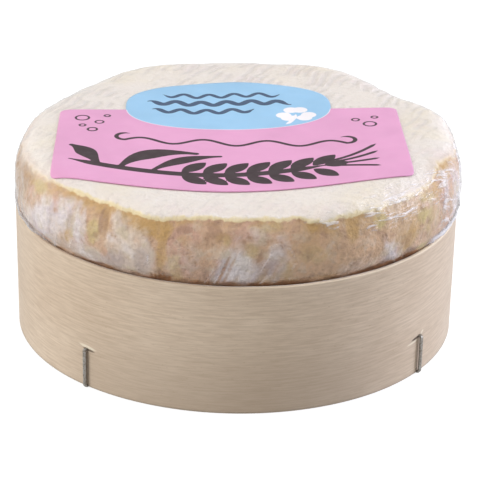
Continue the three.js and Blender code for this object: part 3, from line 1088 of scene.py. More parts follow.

# What ripened where on the side, in soft patches: azimuth, climb, half width in degrees, half height in
# mm, lean in degrees for each mm of climb, and strength. Shaded patches are painted shade on the bloom, and
# white ones are thick bloom with a painted highlight. Fold shadows are painted shadows of the film's folds.
PATCHES = {
    "bloom": (
        (-53, 5.4, 9, 6.2, 0.9, 0.95), (-45.5, 8.6, 3.4, 3.4, 0.3, 0.8), (-40.6, 3.2, 2.6, 4.4, 0.5, 0.6),
        (-40.9, 8, 1.5, 4.2, 0, 0.75), (-66, 3, 6, 4, 0.7, 0.42), (-84, 5, 9, 4, 0, 0.3),
        (-40, 1.2, 12, 3.4, 0, 0.6), (-35.4, 1.4, 4.6, 2.9, 0, 0.85), (-38.9, 8.2, 1.1, 3.6, 0, 0.7),
        (-16.4, 3.6, 2.4, 4.6, 0, 0.15), (-25.6, 4, 6.4, 6.8, 0, 0.88), (-27.4, 9, 3, 3.4, -0.9, 0.85),
        (-20.8, 6, 1.8, 4, -0.2, 0.6), (-10.4, 5, 2.8, 3.6, 0, 0.3), (-1.4, 3.4, 3.4, 5.6, 0.4, 1),
        (3, 2, 2.6, 3.6, 0.2, 0.9), (6.8, 3.8, 1.9, 5.2, 0.5, 0.55), (5.2, 9.9, 2.6, 2, 0, 0.45),
        (9.8, 4.4, 2.6, 5.2, 0.3, 0.6), (13.6, 5.8, 1.6, 2.2, -0.4, 0.2), (31, 1.6, 6, 2.8, 0, 0.35),
        (41, 2.8, 3.6, 3.6, -0.5, 0.85), (64.5, 9.5, 1.7, 5, 0.3, 0.6), (72.5, 7.5, 4.4, 6.4, 0, 0.75),
        (82, 5, 9, 6.5, 0, 0.8), (95, 8, 9, 7, 0, 0.8),
    ),
    "shaded": (
        (-29.6, 3.2, 4.4, 2.4, 0, 0.75), (-22.4, 3.6, 2.2, 4, 0, 0.6), (-35, 2.4, 3.6, 1.6, 0, 0.55),
        (-47.4, 2.2, 3.4, 1.7, 0.4, 0.55), (-43, 7, 1.3, 3, 0, 0.5), (-50.4, 6.8, 1.2, 2.4, 0.3, 0.45),
        (-58, 4, 2, 3, 0.6, 0.4), (-5.2, 3, 1.1, 3.6, 0.4, 0.6), (7, 3.2, 1.9, 4.4, 0.5, 0.65),
        (10.6, 3.6, 1.3, 4, 0.3, 0.55), (41.8, 1, 2.8, 1.4, -0.4, 0.5),
    ),
    "white": (
        (-54, 6.4, 3.4, 3.4, 0.8, 0.8), (-46.2, 8.4, 2.2, 2, 0, 0.7), (-40.6, 6.4, 1, 4.4, 0, 0.9),
        (-29.4, 7.4, 2.6, 1.3, -0.6, 0.75), (-25.4, 5.6, 2, 2, -0.5, 0.6), (-38.4, 1.2, 3, 1.4, 0, 0.6),
        (0.4, 3, 2.8, 4, 0.3, 0.9), (9.4, 6.6, 2.2, 0.9, 0.2, 0.7), (39.6, 3.8, 1.8, 2, -0.4, 0.7),
    ),
    "cream": (
        (-28, 5, 11, 9, 0, 0.9), (-16, 5, 3, 8, 0, 1), (-44, 2, 6, 4, 0, 0.6), (-68, 9, 9, 6, 0, 0.8),
        (31, 3, 7, 6, 0, 0.6),
    ),
    "rosy": (
        (22, 4.4, 9, 5, 0, 0.85), (36, 5.6, 6, 3.6, 0, 0.7), (13, 8.4, 4, 2.6, 0, 0.5),
    ),
    "ochre": (
        (-21, 10.7, 5.6, 2.4, -0.5, 0.95), (-17.3, 6, 1.5, 6, 0.1, 0.75), (-32.2, 10.6, 1.6, 2.4, 0, 0.7),
        (-51.6, 9.8, 1.5, 2.2, 0, 0.6), (-44.2, 4.8, 1, 3.2, 0.1, 0.8), (-42.6, 1.2, 1.1, 1.9, 0, 0.5),
        (-48, 11.8, 4.6, 1.7, 0, 0.4), (-37, 11.7, 5, 1.8, 0, 0.45), (-66, 12, 6.4, 2.2, 0, 0.75),
        (-74, 9, 3.4, 3.4, 0, 0.35), (-86, 9, 8, 4.4, 0, 0.45), (-12, 8.8, 2.2, 1.5, 0, 0.35),
        (-3, 9.6, 2.2, 1.3, 0, 0.4), (17, 7.6, 3.6, 1.7, 0, 0.3), (18.6, 11.3, 2, 1.8, 0, 1),
        (23.5, 11.9, 3.6, 0.9, 0, 0.5), (28.2, 10.8, 2, 3.2, 0, 0.9), (23, 10.8, 2.6, 1.3, 0, 0.45),
        (34, 10.6, 2.6, 1.8, 0, 0.4), (48.6, 6.4, 2.5, 2.5, 0, 0.5), (46, 4.6, 4, 2.4, 0, 0.65),
        (68, 13.6, 7, 2, -1, 0.95), (60, 10.6, 2.2, 2.4, 0, 0.55), (47, 3.6, 3, 2.4, 0, 0.45),
    ),
    "olive": (
        (-14.2, 3.2, 1.8, 4, 0, 0.35), (-35.8, 7, 2, 3.2, 0, 0.62), (-42.4, 6.4, 1.2, 2.2, 0, 0.6),
        (-46.6, 9.6, 1, 1.8, 0, 0.4), (-57, 11.4, 5, 2, 0, 0.65), (-74, 7, 14, 7, 0, 0.42),
        (68, 13.6, 6, 1.8, -1, 0.6), (54, 10.8, 3.4, 1.6, 0, 0.55), (60, 6, 8, 7, 0, 0.28),
        (-2, 9, 1.7, 1.3, 0, 0.4), (3.8, 7.4, 2.1, 1.7, 0, 0.4), (7.4, 11.6, 4.2, 1.3, 0, 0.45),
        (12.4, 2.4, 2.2, 3.2, 0, 0.3), (19, 6, 5, 1.9, 0, 0.3), (36.4, 10.6, 2.5, 2.1, 0, 0.75),
        (52.4, 8, 3.4, 1.8, 0, 0.6), (55, 5.6, 2.6, 3, 0, 0.3), (54, 0.8, 3.2, 1.4, 0, 0.7),
    ),
    "brown": (
        (-12, 10.6, 2.5, 0.9, 0.3, 0.45), (-7.4, 4.8, 2.3, 2.1, 0, 0.2), (-6.6, 1.2, 1.4, 2.1, 0, 0.5),
        (-17.2, 0.8, 2.2, 2, 0, 0.7), (-33.6, 9.6, 0.8, 2.6, 0, 0.6), (-35, 6.6, 1, 0.9, 0, 0.5),
        (-0.6, 9.6, 3, 1.1, 0, 0.2), (5.8, 5.6, 0.9, 2.1, 0.4, 0.45), (-74, 8, 15, 8, 0, 0.5),
        (20, 9.4, 4.2, 1.3, 0, 0.1), (25, 6, 3.2, 1.9, 0, 0.2), (39.5, 0.8, 1.8, 1.1, 0, 0.8),
        (48.6, 0.8, 3.4, 1.8, -0.6, 0.95), (34, 0.2, 4, 0.8, 0, 0.6), (45.6, 4.4, 2.6, 1.6, -0.3, 0.45),
        (52, 9.6, 1.3, 1, 0, 0.5),
    ),
    # Painted shadows of the film's folds
    "fold_shadow": (
        (-2.6, 3.4, 0.6, 4.4, 0.5, 0.9), (-1.2, 3.4, 0.5, 4.2, 0.5, 0.7), (6.4, 1.6, 0.8, 2.6, 0.6, 0.6),
        (8.8, 1.2, 0.7, 2.2, 0.5, 0.5), (-32.2, 10, 0.9, 3, 0, 0.95),
    ),
}
# How many times as ragged as the others some patches are
PATCH_WARPS = {"rosy": 2.0, "fold_shadow": 0.3}
# The patches of the hidden sides: seed, how many, and the spans of their half widths and half heights
HIDDEN_PATCHES = {
    "bloom": (41, 20, (3, 9), (3, 6)),
    "ochre": (43, 16, (1, 5), (1.5, 4)),
    "olive": (45, 12, (1, 4), (1, 4)),
    "brown": (47, 14, (1, 3), (1, 2)),
}
# The short pleats of the film at the rim
PLEATS = np.arange(-20.5, -15.5, 1.15)
PLEAT_CLIMB = 2.2

# Values by azimuth: how strongly the ochre band shows below the shoulder
OCHRE_BAND = (
    (-180, 0.5), (-96, 0.3), (-70, 0.15), (-58, 0.3), (-50, 0.8), (-40, 0.9), (-30, 1), (-15, 1),
    (-9, 0.35), (-4, 0.8), (2, 0.3), (8, 0.6), (14, 0.4), (18, 1), (23, 0.2), (28, 1), (34, 0.7),
    (42, 0.35), (55, 0.3), (64, 0.6), (74, 0.6), (96, 0.4), (180, 0.5),
)
# How crisp the edge of the white top is
CRISP = (
    (-180, 0.5), (-96, 0.1), (-66, 0.1), (-52, 0.5), (-44, 1), (30, 1), (42, 0.5), (60, 0.6), (74, 0.4),
    (96, 0.3), (180, 0.5),
)
# The climb of the edge between the white top and the side
BORDER = (
    (-180, 13.2), (-96, 11.6), (-78, 11.2), (-66, 12.4), (-54, 13.4), (-46, 13.6), (-40, 13.5), (-26, 12.9),
    (-18, 12.2), (-10, 13.1), (5, 13.1), (15, 12.9), (22, 12), (30, 12.9), (38, 12.6), (46, 12.2),
    (58, 12.3), (67, 15.2), (76, 13.2), (84, 12.2), (96, 11.8), (180, 13.2),
)
# How strong the painted shade of the gap is on the rind where it meets the rim, in a reddish brown
RIM_GAP = (
    (-180, 0.5), (-96, 0.1), (-62, 0.1), (-56, 0.8), (-51, 0.8), (-46, 0.3), (-40, 0.8), (-31, 0.8),
    (-27, 0.35), (-24, 0.7), (-18, 0.7), (-13, 0.3), (-9, 0.7), (-1, 0.7), (1, 0.5), (4, 0.8), (14, 0.8),
    (20, 0.45), (27, 0.5), (31, 0.8), (44, 0.9), (52, 1), (56, 0.4), (61, 0.05), (96, 0.1), (180, 0.5),
)


def patch_mask(skin, patches, warp):
    """How strongly each place shows one of the patches, from 0 to 1."""
    bare = np.ones(skin.climb.shape)
    for azimuth, climb, half_width, half_height, lean, strength in patches:
        up = skin.climb - climb
        off = (skin.azimuth - azimuth - lean * up + 180.0) % 360.0 - 180.0
        reach = np.hypot(off / half_width, up / half_height) + warp
        bare *= 1.0 - strength * ramp(1.3, 0.45, reach)
    return 1.0 - bare


def hidden_patches(seed, count, width, height):
    """Patches for the sides that the photo doesn't show, in the manner of those that it does."""
    draw = np.random.default_rng(seed)
    patches = []
    for _ in range(count):
        place = (draw.uniform(94, 266), draw.uniform(0, 11))
        form = (draw.uniform(*width), draw.uniform(*height), draw.uniform(-0.5, 0.5))
        patches.append((*place, *form, draw.uniform(0.3, 0.75)))
    return patches


def ripening(skin):
    """The rind's colours: the climb over the white top's edge, and a mask for each kind of patch."""
    place = skin.points
    warp = 0.34 * rough_noise(place, 3.4, 11, 4)
    wander = 0.40 * rough_noise(place, 3.5, 21) + 0.25 * rough_noise(place, 1.2, 25, 2)
    over = skin.climb - skin.by_azimuth(BORDER) + wander
    band = skin.by_azimuth(OCHRE_BAND) * (0.75 + 0.5 * soft_noise(place, 2.6, 29))
    band = np.clip(band, 0.0, 1.0) * ramp(-2.6, -0.5, over)
    masks = {}
    for name, patches in PATCHES.items():
        hidden = hidden_patches(*HIDDEN_PATCHES[name]) if name in HIDDEN_PATCHES else ()
        masks[name] = patch_mask(skin, (*patches, *hidden), warp * PATCH_WARPS.get(name, 1.0))
    masks["ochre"] = 1.0 - (1.0 - masks["ochre"]) * (1.0 - band)
    # The painted fold shadows take bloom away and darken the rind along the folds
    shadow = masks.pop("fold_shadow")
    masks["bloom"] = masks["bloom"] * (1.0 - 0.8 * shadow)
    masks["brown"] = np.maximum(masks["brown"], 0.5 * shadow)
    gap = skin.by_azimuth(RIM_GAP)
    gap = gap * ramp(0.5 + 0.8 * gap, 0.0, skin.climb + 0.7 * soft_noise(place, 3.0, 33))
    # Painted shadows of the film's short pleats at the rim, in the same mask as the gap's painted shade
    ticks = [(azimuth, 0.3, 0.40, 1.1, 0.1, 0.9) for azimuth in PLEATS]
    masks["gap"] = np.maximum(0.95 * gap, patch_mask(skin, ticks, 0.0))
    side = ramp(0.6, -0.6, over)
    masks = {name: mask * side for name, mask in masks.items()}
    masks["over"] = np.clip(over, -6.0, 6.0)
    masks["crisp"] = skin.by_azimuth(CRISP)
    return masks


# The highest that the rind's own relief stands up, in mm
RELIEF_TOP = 0.22
# How far the soft cheese is pressed out at the rim, in front and how much more at the sides, in mm
RIM_PRESS = 0.62
SIDE_PRESS = 0.60
# Where the soft cheese swells: azimuth, climb, half width in degrees, half height and rise in mm
SWELLS = ((108.0, 13.5, 16.0, 4.0, 0.50), (152.0, 16.5, 22.0, 4.0, 0.55), (196.0, 16.5, 12.0, 3.0, 0.25))


def rind_relief(skin, masks):
    """How far the rind stands up or sinks, in mm."""
    place = skin.points
    on_top = ramp(13.0, 17.0, skin.climb)
    over = masks["over"]
    relief = 0.05 * on_top * soft_noise(place, 2.0, 53)
    relief += 0.10 * rough_noise(place, 5.0, 57, 4)
    relief += (1.0 - on_top) * 0.12 * rough_noise(place, 3.0, 61, 3)
    relief += 0.10 * masks["bloom"] - 0.12 * masks["brown"] - 0.04 * masks["ochre"] - 0.10 * masks["gap"]
    relief += 0.16 * np.exp(-((over - 0.5) / 0.7) ** 2) - 0.12 * np.exp(-((over + 1.1) / 0.8) ** 2)
    relief = np.clip(relief, -0.6, RELIEF_TOP)
    # The top lies flat under the label
    relief *= ramp(0.3, 2.5, label_distance(*on_label(place[..., 0], place[..., 1])))
    for azimuth, climb, width, reach, rise in SWELLS:
        off = (skin.azimuth - azimuth + 180.0) % 360.0 - 180.0
        relief += rise * np.exp(-((off / width) ** 2) - ((skin.climb - climb) / reach) ** 2)
    # The soft cheese bears against the box, so that only a thin gap is left at the rim
    press = RIM_PRESS + SIDE_PRESS * ramp(38.0, 62.0, np.abs(skin.azimuth))
    return relief + press * np.exp(-(((skin.climb - 0.6) / 2.4) ** 2))


def rind_material(settings):
    """Ripened rind: creamy white top, tan side with ochre, olive and brown blotches and white bloom."""
    material, tree, shader = new_material("ripened_rind")
    spots = effect(mottle, tree, Large=170.0, Small=620.0, Speckle=2600.0)
    large, small = spots["Large"], spots["Small"]
    place = place_on(tree)
    broad = noise(place, 62.0, 3.0)
    fine = noise(place, 1200.0, 3.0, 0.6)
    blotch = noise(place, 330.0, 3.0, 0.6)
    grain = fine * 0.6 + small * 0.8
    over, crisp = vertex_value(tree, "over"), vertex_value(tree, "crisp")

    def mask(name, rough):
        """A patch's strength, a little ragged by the fine mottle."""
        return ease((grain - 0.7) * rough + vertex_value(tree, name), 0.0, 1.0)

    side = lay_over(settings.tan, (
        (ease(large, 0.42, 0.58), PINKISH_TAN),
        (ease(broad, 0.47, 0.62, 0.0, 0.7), OCHRE_TAN),
        (vertex_value(tree, "rosy"), ROSY_TAN),
        (ease(blotch, 0.50, 0.68, 0.0, 0.7), PALE_TAN),
        (ease(blotch, 0.47, 0.34, 0.0, 0.75), BROWN_TAN),
        (ease(fine, 0.40, 0.28, 0.0, 0.35), settings.brown),
        (mask("olive", 0.8), settings.olive),
        (mask("ochre", 0.9), settings.ochre),
        (mask("brown", 1.0), settings.brown),
    ))
    bloom = lay_over(settings.bloom, (
        (ease(large, 0.42, 0.70), GREY_BLOOM),
        (vertex_value(tree, "cream"), CREAM_BLOOM),
        (ease(grain, 0.62, 0.85, 0.0, 0.4), PALE_TAN),
        (ease(blotch, 0.50, 0.64, 0.0, 0.65), OLIVE_TAN),
        (ease(fine, 0.42, 0.28, 0.0, 0.30), settings.tan),
        # Painted shade on the bloom
        (mask("shaded", 0.8) * 0.8, SHADED_BLOOM),
        # Thick white bloom with a painted highlight on it
        (mask("white", 0.8) * 0.6, WHITE_BLOOM_AND_HIGHLIGHT),
    ))
    side = blend(mask("bloom", 1.1) * 0.95, side, bloom)
    # Painted shade in the gap at the rim, with the pleats' painted shadows
    side = blend(mask("gap", 0.5), side, RIM_GAP_SHADE)
    side = blend(1.0, side, ease(fine, 0.25, 0.75, 0.83, 1.03), "MULTIPLY")

    ridge = effect(mat_print, tree, Spacing=settings.ridge_spacing)["Ridge"]
    crown = lay_over(settings.crown, (
        (ease(broad, 0.45, 0.75, 0.0, 0.7), YELLOW_CROWN),
        (ease(large, 0.48, 0.75, 0.0, 0.6), PINK_CROWN),
        (ease(small, 0.5, 0.8, 0.0, 0.4), WHITE_CROWN),
        (ease(fine, 0.48, 0.30, 0.0, 0.35), GREY_CROWN),
        # Grey in the mat print's grooves is painted shade
        (ease(ridge, 0.0, -0.8, 0.0, 0.42), GREY_CROWN),
    ))
    ragged = (grain - 0.7) * 1.3 + over
    vague = ease((broad - 0.5) * 5.0 + over, -2.2, 2.6)
    edge = crisp * (ease(ragged, -0.25, 0.45) - vague) + vague
    crest = ease(ragged, -0.5, -0.15) * ease(ragged, 0.8, 0.15)
    rind = blend(edge, side, crown)
    rough = bump(spots["Speckle"] * 0.25 + grain, 0.8, 0.45 * MM)
    fill(shader, {
        "Base Color": blend(crest * (crisp * 0.8), rind, settings.crest),
        "Roughness": ease(small, 0.3, 0.7, 0.55, 0.75),
        "Normal": bump(ridge * edge, 1.0, settings.ridge_depth, Normal=rough),
        "Specular IOR Level": 0.3,
    })
    return material


# How far the rind lies inside the solid's skin, to leave room for its relief and the film
RIND_INSET = 0.22
# The gap that stays free between the cheese and the band
WALL_GAP = 0.05


def inside_solids(points, margin=0.0, rise=2.6):
    """Keeps points clear of the wall, and by the rise above the rim only inside the part's bounds."""
    low, high = np.array(cad_bounds[0]) * TO_MM, np.array(cad_bounds[1]) * TO_MM
    radius = np.hypot(points[..., 0], points[..., 1])
    wall = BAND_RADIUS - VENEER - WALL_GAP - margin + 2.0 * ramp(RIM, RIM + rise, points[..., 2])
    # The last part of the way to the wall is taken softly
    soft = 0.25
    over = np.maximum(radius - (wall - soft), 0.0)
    limited = np.where(over > 0, wall - soft * np.exp(-over / soft), radius)
    shrink = limited / np.maximum(radius, 1e-6)
    points = points * np.stack([shrink, shrink, np.ones_like(shrink)], axis=-1)
    return np.clip(points, low + 0.01 + margin, high - 0.01 - margin)


@functools.lru_cache(maxsize=2)
def ripe_rind(columns):
    """The skin's grid, its colour masks and how far the rind lies out from the solid's skin, in mm."""
    skin = Skin(columns)
    masks = ripening(skin)
    relief = rind_relief(skin, masks)
    return skin, masks, relief - RIND_INSET


class CAMEMBERT_OT_ripen_cheese(bpy.types.Operator):
    """Grows the rind over the cheese: its relief, its bloom and its blotches"""
    bl_idname = "camembert.ripen_cheese"
    bl_label = "Ripen the cheese"

    def execute(self, context):
        settings = context.scene.camembert_rind
        skin, masks, shift = ripe_rind(settings.columns)
        clear = context.scene.camembert_film.clearance * TO_MM
        rows = inside_solids(skin.moved(shift), clear)
        cheese = make_skin("ripened_cheese", rows, rind_material(settings), masks)
        ride_in_box(cheese, "cheese_in_film", "wrapped_cheese")
        return {"FINISHED"}


# The film's folds: points of azimuth and climb, height share, half width in mm, whiteness (partly a painted
# highlight)
FOLDS = (
    (((-8.2, -1), (-5.4, 3), (-3.2, 7)), 0.9, 0.45, 0.5),
    (((-5.8, -1), (-3.6, 2.6), (-1.4, 7.6)), 0.8, 0.4, 0.5),
    (((2.4, 0.6), (5.8, 3.4), (9, 7.6)), 0.6, 0.6, 0.35),
    (((5, -0.6), (8.2, 3), (10.4, 6)), 0.6, 0.55, 0.3),
    (((-92, 0.8), (-76, 0.5), (-66, 0.3), (-57, -0.4)), 0.9, 0.6, 0.9),
    (((-90, 2.6), (-76, 2), (-64, 1.6)), 0.7, 0.5, 0.5),
    (((7.6, 7.6), (10, 8.8), (13, 7.4), (15, 4.6)), 0.8, 0.45, 0.5),
    (((36.6, 9.4), (40, 10), (45, 10.9), (51, 11.2), (57, 11.4)), 0.9, 0.34, 0.45),
    (((37, 8.8), (41, 9.6), (46, 10), (51, 9.7), (55, 8.8)), 1, 0.34, 0.55),
    (((42, 9), (47, 9.3), (52, 8.8)), 0.6, 0.32, 0.35),
    (((38, 11.8), (45, 12.2), (52, 12), (58, 12.2)), 0.8, 0.34, 0.35),
    (((40, 13), (48, 13.2), (57, 12.9)), 0.8, 0.34, 0.4),
    (((44, 14.4), (51, 14), (58, 14.2)), 0.8, 0.34, 0.45),
    (((34, 7.4), (40, 8.2), (47, 8), (52, 7)), 0.6, 0.32, 0.3),
    (((58.6, 14.2), (60.4, 12.8), (61.2, 10.4)), 0.9, 0.4, 0.6),
    (((56, 12.8), (58.4, 11.6), (59.4, 9)), 0.7, 0.36, 0.4),
    (((55, -0.6), (62, 0.3), (72, 0.8), (88, 0.8)), 0.4, 0.45, 0.6),
    (((57, 1.9), (65, 2.4), (74, 2.8), (88, 3)), 0.5, 0.45, 0.6),
    (((61.6, 13.6), (64, 9), (69, 4.6), (76, 1)), 0.9, 0.5, 0.5),
    (((66, 12), (69, 7.8), (75, 3.8), (84, 1)), 0.9, 0.5, 0.5),
    (((38, 5.2), (41, 2.6), (44, -0.6)), 0.7, 0.4, 0.5),
    (((40.6, 5.6), (44, 2.4), (47, -0.6)), 0.7, 0.4, 0.4),
    (((-30.6, 0.4), (-27, 3.4), (-23, 5)), 0.6, 0.4, 0.3),
    (((-24, 8.4), (-20.6, 5.6), (-19.4, 1.6)), 0.8, 0.45, 0.4),
    (((-57, -1), (-52, 3.6), (-48.6, 8.6)), 0.8, 0.45, 0.4),
    (((-52, -1), (-47.4, 4), (-46, 8)), 0.7, 0.4, 0.4),
    (((-44.6, 1.4), (-41.6, 5), (-40.4, 9.4)), 0.8, 0.4, 0.5),
    (((-34, 1.6), (-32.4, 5.6), (-32, 11.2)), 0.5, 0.4, 0.2),
    (((19.4, 12.8), (22.6, 11.6), (26, 11.8)), 0.9, 0.35, 1),
    (((21, 11.6), (23.6, 10.6), (25.4, 11)), 0.7, 0.3, 0.8),
    (((-2.4, 11.6), (-1.6, 11.3), (0.4, 11.6)), 0.7, 0.35, 0.7),
)


def hidden_folds(seed, count):
    """Folds for the sides that the photo doesn't show."""
    draw = np.random.default_rng(seed)
    folds = []
    for _ in range(count):
        azimuth, lean = draw.uniform(96, 264), draw.uniform(-5, 5)
        azimuth = (azimuth + 180.0) % 360.0 - 180.0
        low, high = draw.uniform(-1, 5), draw.uniform(6, 14)
        bend = draw.uniform(-1.5, 1.5)
        line = ((azimuth, low), (azimuth + lean / 2 + bend, (low + high) / 2), (azimuth + lean, high))
        folds.append((line, draw.uniform(0.5, 1.0), draw.uniform(0.35, 0.55), draw.uniform(0.2, 0.8)))
    return folds


def film_folds(skin):
    """The film's folds as heights from 0 to 1 and their whiteness."""
    height = np.zeros(skin.climb.shape)
    whiteness = np.zeros(skin.climb.shape)
    round_length = skin.round_length()
    high = ramp(6.0, 9.0, skin.climb)
    wobble = 0.25 * soft_noise(skin.points, 2.5, 71) + 0.10 * high * soft_noise(skin.points, 1.2, 72)
    broken = 1.0 - 0.55 * high * ramp(0.2, -0.35, soft_noise(skin.points, 1.7, 77))
    ticks = [(((a + 0.55, -1.0), (a + 0.7, PLEAT_CLIMB)), 0.5, 0.25, 0.3) for a in PLEATS]
    for line, rise, half_width, white in (*FOLDS, *ticks, *hidden_folds(73, 34)):
        points = [(math.radians(azimuth) * SIDE_RADIUS, climb) for azimuth, climb in line]
        away, along = distance_to_line(round_length + wobble, skin.climb + wobble, points)
        fade = ramp(0.0, 0.2, along) * ramp(1.0, 0.8, along) * broken
        shape = rise * fade * np.exp(-(away / half_width) ** 1.3)
        height = np.maximum(height, shape)
        whiteness = np.maximum(whiteness, white * fade * np.exp(-(away / (half_width * 0.8)) ** 2))
    return height, whiteness


def film_wrinkles(skin):
    """Fine creases of tight film, upright on the side and fading out over the top."""
    spread = np.stack([skin.points[..., 0] / 2.6, skin.points[..., 1] / 2.6, skin.climb / 7.0], axis=-1)
    spread += 0.35 * soft_noise(skin.points, 5.0, 81)[..., None]
    crease = 1.0 - np.abs(soft_noise(spread, 1.0, 83)) * 1.8
    crease = np.clip(crease, 0.0, 1.0) ** 3
    net = 1.0 - np.abs(rough_noise(skin.points, 3.4, 87, 2)) * 2.0
    net = np.clip(net, 0.0, 1.0) ** 3
    right = ramp(20.0, 60.0, skin.azimuth) * ramp(110.0, 80.0, skin.azimuth)
    patchy = ramp(-0.3, 0.5, soft_noise(skin.points, 11.0, 91))
    on_side = ramp(16.5, 13.0, skin.climb)
    upright = crease * on_side * (0.35 + 0.45 * patchy)
    crinkled = net * ramp(19.0, 14.5, skin.climb) * (0.2 + 0.9 * right) * ramp(4.0, 9.0, skin.climb)
    return np.maximum(upright, crinkled)


# Where the film is drawn into streaks: azimuth from and to, climb from and to, tilt in degrees, spacing
# and length in mm, height share and whiteness, which is partly a painted highlight on the streaks
STREAK_FIELDS = (
    (31, 60, 8.6, 15.4, -5, 0.85, 6, 0.95, 0.55), (56, 67, 3, 14, -62, 1, 6, 0.8, 0.45),
    (64, 104, 2, 14.5, -24, 1.5, 9, 0.4, 0.6), (55, 104, -1.4, 4.6, -17, 1.4, 9, 0.5, 0.4),
    (63.6, 66.4, 3, 13, -86, 0.7, 9, 0.9, 0.8), (-98, -58, 0, 11, 25, 1.8, 9, 0.5, 0.3),
    (-60, -36, -1, 10, 55, 1.5, 6, 0.5, 0.3), (-36, -8, -1, 9, 68, 1.6, 6, 0.4, 0.2),
    (-8, 16, -1, 8.5, 62, 1.3, 6, 0.6, 0.35), (14, 34, -1, 9, 100, 1.7, 6, 0.35, 0.15),
    (14, 34, 10, 15, 8, 0.9, 4, 0.5, 0.45), (100, 180, -1, 13, -70, 1.6, 7, 0.5, 0.3),
    (-180, -100, -1, 13, 70, 1.6, 7, 0.5, 0.3),
)
# Fine streaks in the film: slant in degrees, spacing and length in mm, then where they show, as azimuth
# from and to, climb from and to, and strength
DRAWN_STREAKS = {
    "level_streaks": (-4, 0.55, 7, (32, 64, 8.6, 16.6, 1), (14, 32, 10.6, 14.6, 0.4)),
    "sloping_streaks": (-19, 0.8, 9, (60, 106, -1, 14, 0.8), (-106, -60, -1, 12, 0.2)),
    "steep_streaks": (64, 1, 8, (-58, 34, -1, 9, 0.35), (106, 178, -1, 13, 0.4), (-178, -106, -1, 13, 0.4)),
}


def field_mask(skin, left, right, low, high):
    """1 inside a field of azimuths and climbs, 0 outside it."""
    inside = ramp(left - 2.0, left + 3.0, skin.azimuth) * ramp(right + 2.0, right - 3.0, skin.azimuth)
    return inside * ramp(low - 0.8, low + 0.8, skin.climb) * ramp(high + 0.8, high - 0.8, skin.climb)


def drawn_masks(skin):
    """How strongly each kind of fine streak shows, and each place's way round and up in mm."""
    masks = {"around": skin.round_length(), "up": skin.climb}
    for name, (_, _, _, *fields) in DRAWN_STREAKS.items():
        masks[name] = np.max([share * field_mask(skin, *field) for *field, share in fields], axis=0)
    return masks


def film_streaks(skin):
    """Fine streaks of drawn film, as heights from 0 to 1 and their whiteness."""
    height = np.zeros(skin.climb.shape)
    whiteness = np.zeros(skin.climb.shape)
    length = skin.round_length()
    sway = 0.5 * soft_noise(skin.points, 6.0, 101)
    for seed, (left, right, low, high, tilt, spacing, reach, rise, white) in enumerate(STREAK_FIELDS, 103):
        turn = math.radians(tilt)
        along = length * math.cos(turn) + skin.climb * math.sin(turn)
        across = skin.climb * math.cos(turn) - length * math.sin(turn) + sway
        place = np.stack([along / reach, across / spacing, skin.points[..., 1] / 40.0], axis=-1)
        ridge = np.clip(1.0 - 2.4 * np.abs(soft_noise(place, 1.0, seed)), 0.0, 1.0) ** 2
        ridge *= ramp(-0.6, 0.15, soft_noise(place * (1.0, 0.45, 1.0), 1.0, seed + 40))
        inside = field_mask(skin, left, right, low, high)
        height = np.maximum(height, rise * ridge * inside)
        whiteness = np.maximum(whiteness, white * ridge * inside)
    return height, whiteness


FILM_IOR = 1.45


def film_material(settings):
    """Clear glossy film that turns white where it is creased, where part of the white is a painted
    highlight on its folds and streaks.
    """
    material, tree, shader = new_material("clear_film")
    place = place_on(tree)
    way = {"Around": vertex_value(tree, "around"), "Up": vertex_value(tree, "up")}
    streaks = 0.0
    for name, (slant, spacing, reach, *_) in DRAWN_STREAKS.items():
        streak = effect(drawn_film, tree, Slant=slant, Spacing=spacing, Length=reach, **way)["Streak"]
        streaks = calc("MAXIMUM", streak * vertex_value(tree, name), streaks)
    ripple = streaks * 1.6 + noise(place, 700.0)
    normal = bump(ripple, 0.25, 0.3 * MM)
    ragged = (noise(place, 1300.0) - 0.5) * 0.5 + vertex_value(tree, "crease")
    ragged = streaks * 0.70 + ragged
    white = calc("MAXIMUM", ease(ragged, 0.25, 0.95, 0.015, 0.55), vertex_value(tree, "tuck"))

    clear = add(tree, "ShaderNodeBsdfTransparent")
    mirror = add(tree, "ShaderNodeBsdfGlossy", {"Roughness": 0.16, "Normal": normal})
    # A thin film mirrors as much from within as from outside
    behind = add(tree, "ShaderNodeNewGeometry", output="Backfacing")
    bending = behind * (1 / FILM_IOR - FILM_IOR) + FILM_IOR
    share = add(tree, "ShaderNodeFresnel", {"IOR": bending, "Normal": normal})
    gloss = add(tree, "ShaderNodeMixShader", {0: share, 1: clear, 2: mirror})
    fill(shader, {"Base Color": colour(settings.haze), "Roughness": 0.3, "Normal": normal})
    film = add(tree, "ShaderNodeMixShader", {0: white, 1: gloss, 2: Value(shader.outputs[0])})
    fill(tree.nodes["Material Output"], {"Surface": film})
    return material


def bridged(shift, times):
    """The film's lie over the rind: it spans the small dents."""
    for _ in range(times):
        around = (np.roll(shift, 1, axis=1) + np.roll(shift, -1, axis=1) + shift) / 3.0
        upright = around.copy()
        upright[1:-1] = (around[:-2] + around[1:-1] + around[2:]) / 3.0
        shift = np.maximum(upright, shift)
    return shift


# How far the film stands off from the rind at the right
STAND_OFF = 0.35


